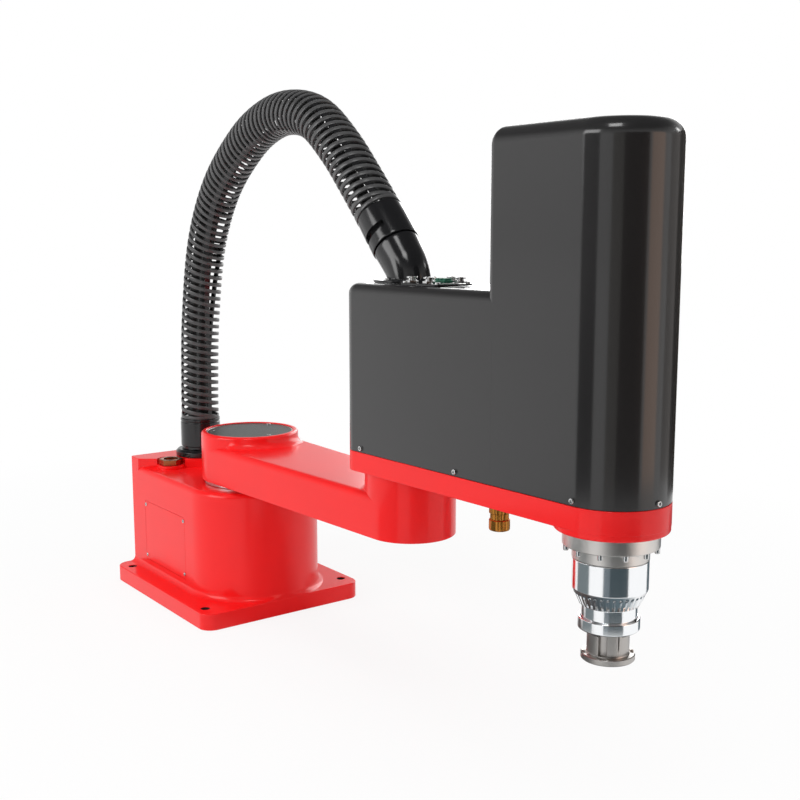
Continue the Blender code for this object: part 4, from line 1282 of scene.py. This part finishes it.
@dataclass
class Elbow:
    """The swivelling collar and elbow that bring the conduit down onto the second joint's axis."""

    upper: Pair = (0.2316, 0.3970)
    lower: Pair = (0.2553, 0.3705)
    bend: float = 0.030
    seat: float = 0.3450
    foot: float = 0.0180
    slot_depth: float = 0.0042
    slot_rows: Pair = (0.01895, 0.02535)
    slot_angles: Pair = (46, 150)

    @property
    def direction(self) -> Array:
        """The way the collar points, down along the conduit."""
        run = np.array(self.lower) - np.array(self.upper)
        return run / np.linalg.norm(run)

    def section(self, centre: Array, along: Array, angle: Array, r: Array) -> Array:
        """Rings square to a path.

        Args:
            centre, along: the path's points and directions, one row each, in the plane of the arm.
            angle: the points' angles, 0 on the arch's outer side and 90 degrees on the near side.
            r: the rings' radii.

        Returns:
            The rings, one row each.
        """
        across, up = -along[:, 1:], along[:, :1]
        x = centre[:, :1] + r * np.cos(angle) * across
        z = centre[:, 1:] + r * np.cos(angle) * up
        return np.stack([x, -r * np.sin(angle), z], axis=2)

    def collar(self) -> None:
        """The collar: a sleeve with a dark window in its near side."""
        marks = np.array([
            0.0003, 0.0006, 0.0014, 0.0120, 0.0180, 0.01895, 0.0191, 0.0252, 0.02535, 0.0270, 0.0300, 0.0325,
            0.0338, 0.0344, 0.0349,
        ])
        angle = spokes(240)
        base = np.interp(
            marks, [0.0, 0.0006, 0.0014, 0.012, 0.0340, 0.0349, 0.0356],
            [0.0192, 0.0199, 0.0202, 0.0205, 0.0206, 0.0203, 0.0200],
        )
        rows = window(marks, *self.slot_rows, 0.00015)[:, None]
        r = base[:, None] - self.slot_depth * rows * window(np.degrees(angle), *self.slot_angles, 0.6)[None]
        centre = np.array(self.upper)[None] + marks[:, None] * self.direction[None]
        points = self.section(centre, np.broadcast_to(self.direction, centre.shape), angle[None], r)
        finished("collar_sleeve", Skin().solid(points), PLASTIC, Body.SWIVEL, ["conduit_collar"], 28.0)

    def elbow(self) -> None:
        """The elbow: straight, then a bend down onto the joint's axis, its foot level on the flange."""
        rim, direction, steps = np.array(self.lower), self.direction, 33
        first = 0.5 * math.pi - math.atan2(-direction[1], direction[0])
        straight = (ELBOW_AXIS_X - rim[0] - self.bend * (1 - math.cos(first))) / direction[0]
        middle = rim + direction * straight - self.bend * np.array([math.cos(first), math.sin(first)])
        angle = np.linspace(first, 0, steps)
        curve = middle + self.bend * np.stack([np.cos(angle), np.sin(angle)], axis=1)
        lead = rim + direction * np.array([[0.0003], [0.0012], [0.0030], [0.0080], [0.0120]])
        heading = np.stack([np.sin(angle), -np.cos(angle)], axis=1)
        along = np.concatenate([np.broadcast_to(direction, lead.shape), heading])
        r = np.concatenate([[0.0192, 0.0196, 0.0195, 0.0192, 0.0190], np.linspace(0.0188, self.foot, steps)])
        points = self.section(np.concatenate([lead, curve]), along, spokes(128)[None], r[:, None])
        points[:, :, 2] = np.maximum(points[:, :, 2], self.seat)
        finished("elbow_bend", Skin().solid(points), PLASTIC, Body.SWIVEL, ["conduit_elbow"], 40.0)

    def build(self) -> None:
        """Makes the collar and the elbow."""
        self.collar()
        self.elbow()


# ---- Quill


@dataclass
class Quill:
    """The quill under the nose: bearing flange, retaining ring, fluted nose, stop collar and tool flange."""

    x: float = QUILL_AXIS_X
    flutes: int = 36
    flute_depth: float = 0.0019
    screws: int = 12
    screw_circle: float = 0.0314
    flange_foot: float = 0.1723
    hub: float = 0.0146
    face_radius: float = 0.0186
    face: float = 0.0911
    shoulder: float = 0.0955
    hub_top: float = 0.1128
    bore: float = 0.0103
    shaft_ends: Pair = (0.0930, 0.4360)
    shaft_radius: float = 0.0100
    shaft_bore: float = 0.0045
    lead: float = 0.020
    groove: float = 0.0009

    def ring(
        self, name: str, section: Sequence[Pair], radii: float | Sequence[float], finish: Finish, body: Body,
        node: str,
    ) -> None:
        """Makes one of the quill's rings; node is the solid it stands for, the rest is as in turned_ring."""
        turned_ring(name, section, radii, finish, body, [node], self.x, 160)

    def bearing_flange(self) -> None:
        """The bearing flange and the screws that hang under its rim."""
        foot = self.flange_foot
        self.ring("bearing_flange", [
            (0.0168, foot), (0.0332, foot), (0.0332, 0.1830),
            (0.0230, 0.1830), (0.0230, 0.2041), (0.0168, 0.2041),
        ], 0.0006, ALUMINIUM, Body.SECOND_ARM, "quill_bearing_flange")
        places = lifted(circle(self.screw_circle, self.screws, self.x), foot)
        seats = [(place, (0, 0, -1)) for place in places]
        screw_set("bearing_flange_screws", 0.0019, 0.0036, seats, Body.SECOND_ARM)

    def retaining_ring(self) -> None:
        """The plain aluminium ring under the flange."""
        self.ring("retaining_ring", [
            (0.0145, 0.1632), (0.0264, 0.1632), (0.0264, 0.1709),
            (0.0250, 0.1709), (0.0250, 0.1720), (0.0145, 0.1720),
        ], 0.0003, ALUMINIUM, Body.SECOND_ARM, "quill_retaining_ring")

    def fluted_nose(self) -> None:
        """The chromed nose: the cone's radius is cut by round-bottomed flutes that run out upwards.

        A flute's section is the square root of a cosine lobe, and its depth grows down the cone.
        """
        corners = np.array([
            [0.0112, 0.1629], [0.0262, 0.1629], [0.0262, 0.1422], [0.0209, 0.1308], [0.0192, 0.1303],
            [0.0192, 0.1190], [0.0112, 0.1190], [0.0112, 0.1629],
        ])
        rounded = soften(corners, [0, 0.0006, 0.0012, 0.0004, 0.0008, 0.0006, 0.0004, 0], 5)
        length = np.concatenate([[0], np.cumsum(np.linalg.norm(np.diff(rounded, axis=0), axis=1))])
        cone = (rounded[:, 0] > 0.0205) & (rounded[:, 1] < 0.1425)
        first, last = length[cone].min(), length[cone].max()
        fluted = np.interp(np.linspace(0.1412, 0.1312, 26), rounded[::-1, 1], length[::-1])
        stations = np.unique(np.concatenate([length, np.linspace(first, last, 26), fluted[fluted > first]]))
        plain, z = (np.interp(stations, length, rounded[:, k]) for k in (0, 1))
        angle = spokes(self.flutes * 14)
        lobe = np.sqrt(np.clip(np.cos(self.flutes * angle) * 1.25 - 0.05, 0, 1))
        fall = np.clip((0.1405 - z) / 0.0034, 0, 1) * np.clip((z - 0.1309) / 0.0003, 0, 1) * (plain > 0.0199)
        r = plain[:, None] - self.flute_depth * (fall * (3 - 2 * fall) * fall)[:, None] * lobe[None]
        skin = Skin().grid(polar(r, angle, z[:, None], self.x))
        finished("fluted_nose", skin, CHROME, Body.SECOND_ARM, ["chrome_nose"], 38.0)

    def stop_collar(self) -> None:
        """The collar that cups the nose's neck."""
        self.ring("stop_collar", [
            (0.0103, 0.1131), (0.0213, 0.1131), (0.0213, 0.1215),
            (0.0197, 0.1215), (0.0195, 0.1184), (0.0103, 0.1184),
        ], [0.0003, 0.0010, 0.0008, 0.0004, 0.0003, 0.0003], CHROME, Body.QUILL, "lower_stop_collar")

    def tool_flange(self) -> None:
        """The clamping hub and tool face, with the hub's recess and slit and the rim's notches.

        Each cut is a window in angle and height that lowers the radius or the level there.
        """
        angle = spokes(360)
        facing = -36.8
        away = (np.degrees(angle) - facing + 180) % 360 - 180
        hub, rim, face, shoulder, top = self.hub, self.face_radius, self.face, self.shoulder, self.hub_top
        z = np.array([shoulder + 0.0001, 0.0962, 0.0965, 0.1000, 0.1040, 0.1098, 0.1101, 0.1122, top])[:, None]
        base = np.array([hub + 0.0003, *[hub] * 7, hub - 0.0005])[:, None]
        recess = 0.0024 * window(away, -37, -14, 1.0) * window(z, 0.0962, 0.2, 0.0003)
        slit = 0.0020 * window(away, 17.0, 20.0, 0.8) * window(z, 0.1000, 0.2, 0.0003)
        castle = 0.0016 * window(away % 90, 28, 62, 1.0) * window(z, 0.1098, 0.2, 0.0003)
        wall = polar(base - np.maximum(np.maximum(recess, slit), castle), angle, z, self.x)
        radial = np.array([hub + 0.0003, 0.0152, 0.0158, 0.0160, 0.0180, rim - 0.0005, rim, rim, rim - 0.0005])
        level = np.array([*[shoulder] * 6, shoulder - 0.0004, face + 0.0005, face])
        notch = 0.0019 * window(np.abs(away), 78, 98, 1.0) * ((radial > 0.0155) & (level > 0.094))[:, None]
        plate = polar(np.broadcast_to(radial[:, None], notch.shape), angle, level[:, None] - notch, self.x)

        def loop(radius: float, height: float) -> Array:
            """One plain ring of points."""
            return lifted(circle(radius, 360, self.x), height)[None]

        points = np.concatenate([
            loop(self.bore, top), wall[::-1], plate, loop(self.bore + 0.0002, face), loop(self.bore, face + 0.0002),
            loop(self.bore, top),
        ])
        finished("tool_face", Skin().grid(points), NICKEL, Body.QUILL, ["tool_flange"], 30.0)

    def shaft(self) -> None:
        """The shaft: six straight ball grooves and a single helical one over them.

        The radius is that of the bar less the deeper of the two grooves; a groove's section is a round
        lobe, and the helical groove's place is the angle less the height over the lead.
        """
        low, high = self.shaft_ends
        z, angle = np.linspace(low, high, 430)[:, None], spokes(96)[None]
        straight = np.clip(np.cos(6 * angle) * 2.2 - 1.2, 0, 1)
        place = (angle - 2 * math.pi * z / self.lead + math.pi) % (2 * math.pi) - math.pi
        helix = np.clip(1 - (place / 0.42) ** 2, 0, 1)
        r = self.shaft_radius - self.groove * np.maximum(straight, helix)
        r[[0, -1]] -= 0.0004
        points = polar(r, angle, z, self.x)
        bore = turned(np.array([[self.shaft_bore, high], [self.shaft_bore, low]]), 96, self.x)
        skin = Skin().grid(np.concatenate([points, bore, points[:1]]))
        finished("splined_shaft", skin, STEEL, Body.QUILL, ["ball_screw_spline_shaft"], 45.0)

    def build(self) -> None:
        """Makes the quill's pieces."""
        self.bearing_flange()
        self.retaining_ring()
        self.fluted_nose()
        self.stop_collar()
        self.tool_flange()
        self.shaft()


# ---- Inner pieces and studio


@dataclass
class InnerWorks:
    """Finishes for the motors, reducers and belt drives that keep their own solids."""

    finishes: dict[str, Finish] = field(default_factory=lambda: {
        "j1_servo_motor": MOTOR, "j1_output_flange": STEEL, "j2_reducer_housing": STEEL, "j2_output_flange": STEEL,
        "j2_servo_motor": MOTOR, "rotation_servo_motor": MOTOR, "lift_servo_motor": MOTOR, "drive_frame": ALUMINIUM,
        "rotation_belt": BELT, "lift_belt": BELT, "rotation_motor_pulley": ALUMINIUM, "lift_motor_pulley": ALUMINIUM,
        "rotation_pulley": ALUMINIUM, "lift_pulley": ALUMINIUM, "ball_spline_nut": STEEL, "ball_screw_nut": STEEL,
        "upper_stop_collar": NICKEL,
    })

    def build(self) -> None:
        """Puts each finish on its solid."""
        for node, finish in self.finishes.items():
            solid = bpy.data.objects[node]
            for slot in solid.material_slots:
                slot.material = finish.material()
            log.info("%s: %s", node, finish.name)


def loose_sheet(
    name: str, points: Sequence[Sequence[float]], faces: Sequence[tuple[int, ...]]
) -> bpy.types.Object:
    """Makes a bare sheet for the studio.

    Args:
        name: its name.
        points: its corners.
        faces: its faces.

    Returns:
        The sheet, without a material.
    """
    mesh = bpy.data.meshes.new(name)
    mesh.from_pydata(points, [], faces)
    made = bpy.data.objects.new(name, mesh)
    bpy.context.scene.collection.objects.link(made)
    return made


@dataclass(frozen=True)
class Flag:
    """An upright curved card about the quill that only reflections show, as a studio does for polished metal."""

    name: str
    away: float
    top: float
    start: float
    stop: float
    tone: Triple
    foot: float = 0.0

    def build(self) -> None:
        """Stands the card up."""
        columns = 12
        ground = arc(QUILL_AXIS_X, 0.0, self.away, self.start, self.stop, columns)
        rows = np.concatenate([lifted(ground, self.foot), lifted(ground, self.top)])
        faces = [(k, k + 1, k + columns + 1, k + columns) for k in range(columns - 1)]
        card = loose_sheet(f"flag_{self.name}", rows, faces)
        made = bpy.data.materials.new(f"flag_{self.name}")
        graph = Graph(made)
        graph.end("OutputMaterial", graph.glow(self.tone))
        card.data.materials.append(made)
        card.visible_camera = card.visible_diffuse = card.visible_shadow = card.visible_transmission = False


@dataclass(frozen=True)
class Lamp:
    """A rectangular soft light: its place, aim, size, power in watts, and what shows it."""

    name: str
    place: Triple
    target: Triple
    size: Pair
    power: float
    mirrored: bool = True
    lights: bool = True

    def build(self) -> None:
        """Hangs the lamp."""
        data = bpy.data.lights.new(self.name, "AREA")
        data.shape, data.energy = "RECTANGLE", self.power
        data.size, data.size_y = self.size
        light = bpy.data.objects.new(self.name, data)
        bpy.context.scene.collection.objects.link(light)
        aim = (Vector(self.target) - Vector(self.place)).to_track_quat("-Z", "Y")
        light.matrix_world = Matrix.Translation(self.place) @ aim.to_matrix().to_4x4()
        light.visible_glossy, light.visible_diffuse = self.mirrored, self.lights


@dataclass
class Studio:
    """A white sweep, soft light, cards for the bright metal and the gloss to mirror, and the photograph's camera."""

    lens: float = 49.65
    pitch: float = 0.1493
    yaw: float = 0.9283
    eye: Triple = (0.99729, -0.55155, 0.38056)
    floor_half: float = 12.0
    # How bright a reflection finds the world, by height from straight down to straight up.
    sky: tuple[Pair, ...] = ((0.0, 0.55), (0.49, 0.85), (0.55, 1.0), (0.70, 0.55), (0.80, 0.12), (1.0, 0.05))
    fill: float = 0.42
    lamps: tuple[Lamp, ...] = (
        Lamp("key", (-0.12, -1.80, 0.95), (0.15, 0.0, 0.2), (1.1, 1.1), 16.5),
        Lamp("top", (0.20, -0.10, 1.70), (0.20, 0.0, 0.0), (1.5, 1.5), 16.0, mirrored=False),
        Lamp("right", (1.35, 1.05, 0.55), (0.35, 0.0, 0.25), (0.5, 1.2), 3.5, mirrored=False),
        Lamp("edge", (0.74, 1.20, 0.62), (0.275, 0.0, 0.38), (0.16, 0.7), 2.2, lights=False),
        Lamp("rear", (-0.25, 1.00, 0.52), (0.40, 0.0, 0.34), (1.2, 0.4), 6.0, lights=False),
        Lamp("soft", (0.70, -0.50, 1.30), (0.30, 0.0, 0.36), (0.32, 0.32), 2.4, lights=False),
    )
    flags: tuple[Flag, ...] = (
        Flag("cover_left", 0.62, 0.62, -120, -88, (0.0, 0.0, 0.0), 0.07),
        Flag("cover_side", 0.62, 0.62, -64, -44, (0.40, 0.38, 0.35), 0.07),
        Flag("cover_front", 0.62, 0.62, -44, 1, (0.04, 0.02, 0.01), 0.07),
        Flag("cover_warm", 0.62, 0.62, 6, 33, (1.9, 1.4, 1.15), 0.09),
        Flag("cover_edge", 0.62, 0.62, 48, 76, (0.45, 0.42, 0.40), 0.09),
        Flag("cover_back", 0.62, 0.62, 76, 118, (0.03, 0.025, 0.02), 0.07),
        Flag("quill_left", 0.31, 0.13, -155, -109, (0.17, 0.20, 0.21)),
        Flag("quill_side", 0.31, 0.13, -66, -48, (0.15, 0.18, 0.20)),
        Flag("quill_front", 0.31, 0.13, -48, 6, (0.055, 0.075, 0.085)),
        Flag("quill_back", 0.31, 0.13, 86, 125, (0.10, 0.13, 0.15)),
    )

    def camera(self) -> None:
        """Sets the camera from its yaw and pitch, level and unshifted."""
        data = bpy.data.cameras.new("camera")
        data.lens, data.sensor_width = self.lens, 36.0
        data.clip_start, data.clip_end = 0.01, 50.0
        view = bpy.data.objects.new("camera", data)
        bpy.context.scene.collection.objects.link(view)
        turn = Matrix.Rotation(self.yaw, 4, "Z") @ Matrix.Rotation(0.5 * math.pi - self.pitch, 4, "X")
        view.matrix_world = Matrix.Translation(self.eye) @ turn
        bpy.context.scene.camera = view

    def world(self) -> None:
        """White where the camera looks; for reflections, a bright horizon under a dark ceiling."""
        world = bpy.data.worlds.new("studio")
        bpy.context.scene.world = world
        graph = Graph(world)
        path = graph.node("LightPath")
        seen = graph.wire(path, "Is Camera Ray").maximum(graph.wire(path, "Is Transmission Ray"))
        place = graph.node("TexCoord")
        height = graph.node("SeparateXYZ", None, {"Vector": place.outputs["Generated"]})
        ramp = graph.node("ValToRGB", None, {"Fac": graph.wire(height, "Z") * 0.5 + 0.5})
        elements = ramp.color_ramp.elements
        for _ in self.sky[2:]:
            elements.new(0.5)
        for element, (at, grey) in zip(elements, self.sky):
            element.position, element.color = at, (grey, grey, grey, 1.0)
        mirror = graph.node("Background", None, {"Color": ramp.outputs[0], "Strength": 1.0})
        fill = graph.node("Background", None, {"Color": (1.0, 1.0, 1.0, 1.0), "Strength": self.fill})
        lit = graph.either(graph.wire(path, "Is Glossy Ray"), graph.wire(fill), graph.wire(mirror))
        graph.end("OutputWorld", graph.either(seen, lit, graph.glow((1.0, 1.0, 1.0), "Background")))

    def floor(self) -> None:
        """A wide pale floor that looks white and keeps a soft shadow.

        Reflections also find it dim about the quill's axis, and dark in a sector that runs from the base under the
        arm: both are painted shade, standing for the floor shadowed under the arm.
        """
        half = self.floor_half
        corners = [(-half, -half, 0), (half, -half, 0), (half, half, 0), (-half, half, 0)]
        sheet = loose_sheet("floor", corners, [(0, 1, 2, 3)])
        sheet.location.z = -0.0005
        made = bpy.data.materials.new("floor_white")
        graph = Graph(made)
        path, place = graph.node("LightPath"), graph.node("TexCoord").outputs["Object"]
        mirrored = graph.wire(path, "Is Glossy Ray")
        seen = graph.wire(path, "Is Camera Ray").maximum(mirrored).maximum(graph.wire(path, "Is Transmission Ray"))
        reach = graph.wire(graph.node("VectorMath", {"operation": "LENGTH"}, {0: place}), "Value")
        away = graph.wire(
            graph.node("VectorMath", {"operation": "DISTANCE"}, {0: place, 1: (QUILL_AXIS_X, 0.0, 0.0)}), "Value"
        )
        parts = graph.node("SeparateXYZ", None, {"Vector": place})
        heading = graph.node("Math", {"operation": "ARCTAN2"}, {0: parts.outputs["Y"], 1: parts.outputs["X"]})
        paint = graph.wire(graph.node("BsdfDiffuse", None, {"Color": (0.86, 0.86, 0.86, 1.0)}))
        surface = graph.either(seen * graph.span(reach, 0.25, 0.85, 0.86, 1.0), paint, graph.glow((1.0, 1.0, 1.0)))
        # Painted shade, seen only in reflections: the floor is dimmed about the quill's axis.
        near = graph.span(away, 0.095, 0.15, 1.0, 0.0) * mirrored
        surface = graph.either(near, surface, graph.glow((0.105, 0.145, 0.165)))
        # Painted shade, seen only in reflections: a dark sector of floor from the base under the arm.
        sector = graph.span(abs(graph.wire(heading) + 0.05), 0.35, 0.80, 1.0, 0.0)
        painted_shade_share = sector * graph.span(reach, 0.42, 0.58, 0.92, 0.0) * mirrored
        graph.end("OutputMaterial", graph.either(painted_shade_share, surface, graph.glow((0.03, 0.015, 0.012))))
        sheet.data.materials.append(made)

    def build(self) -> None:
        """Sets the studio up."""
        self.camera()
        self.world()
        self.floor()
        for thing in (*self.lamps, *self.flags):
            thing.build()
        bpy.context.scene.view_settings.view_transform = "Standard"


def main() -> None:
    """Builds the arm, piece by piece, and the studio round it."""
    logging.basicConfig(level=logging.INFO, format="%(message)s")
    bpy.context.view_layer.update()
    Studio().build()
    for assembly in (
        BaseHousing(), FirstArm(), SecondArm(), TopFittings(), Muffler(), Conduit(), Elbow(), Quill(), InnerWorks(),
    ):
        assembly.build()


if __name__ == "__main__":
    main()
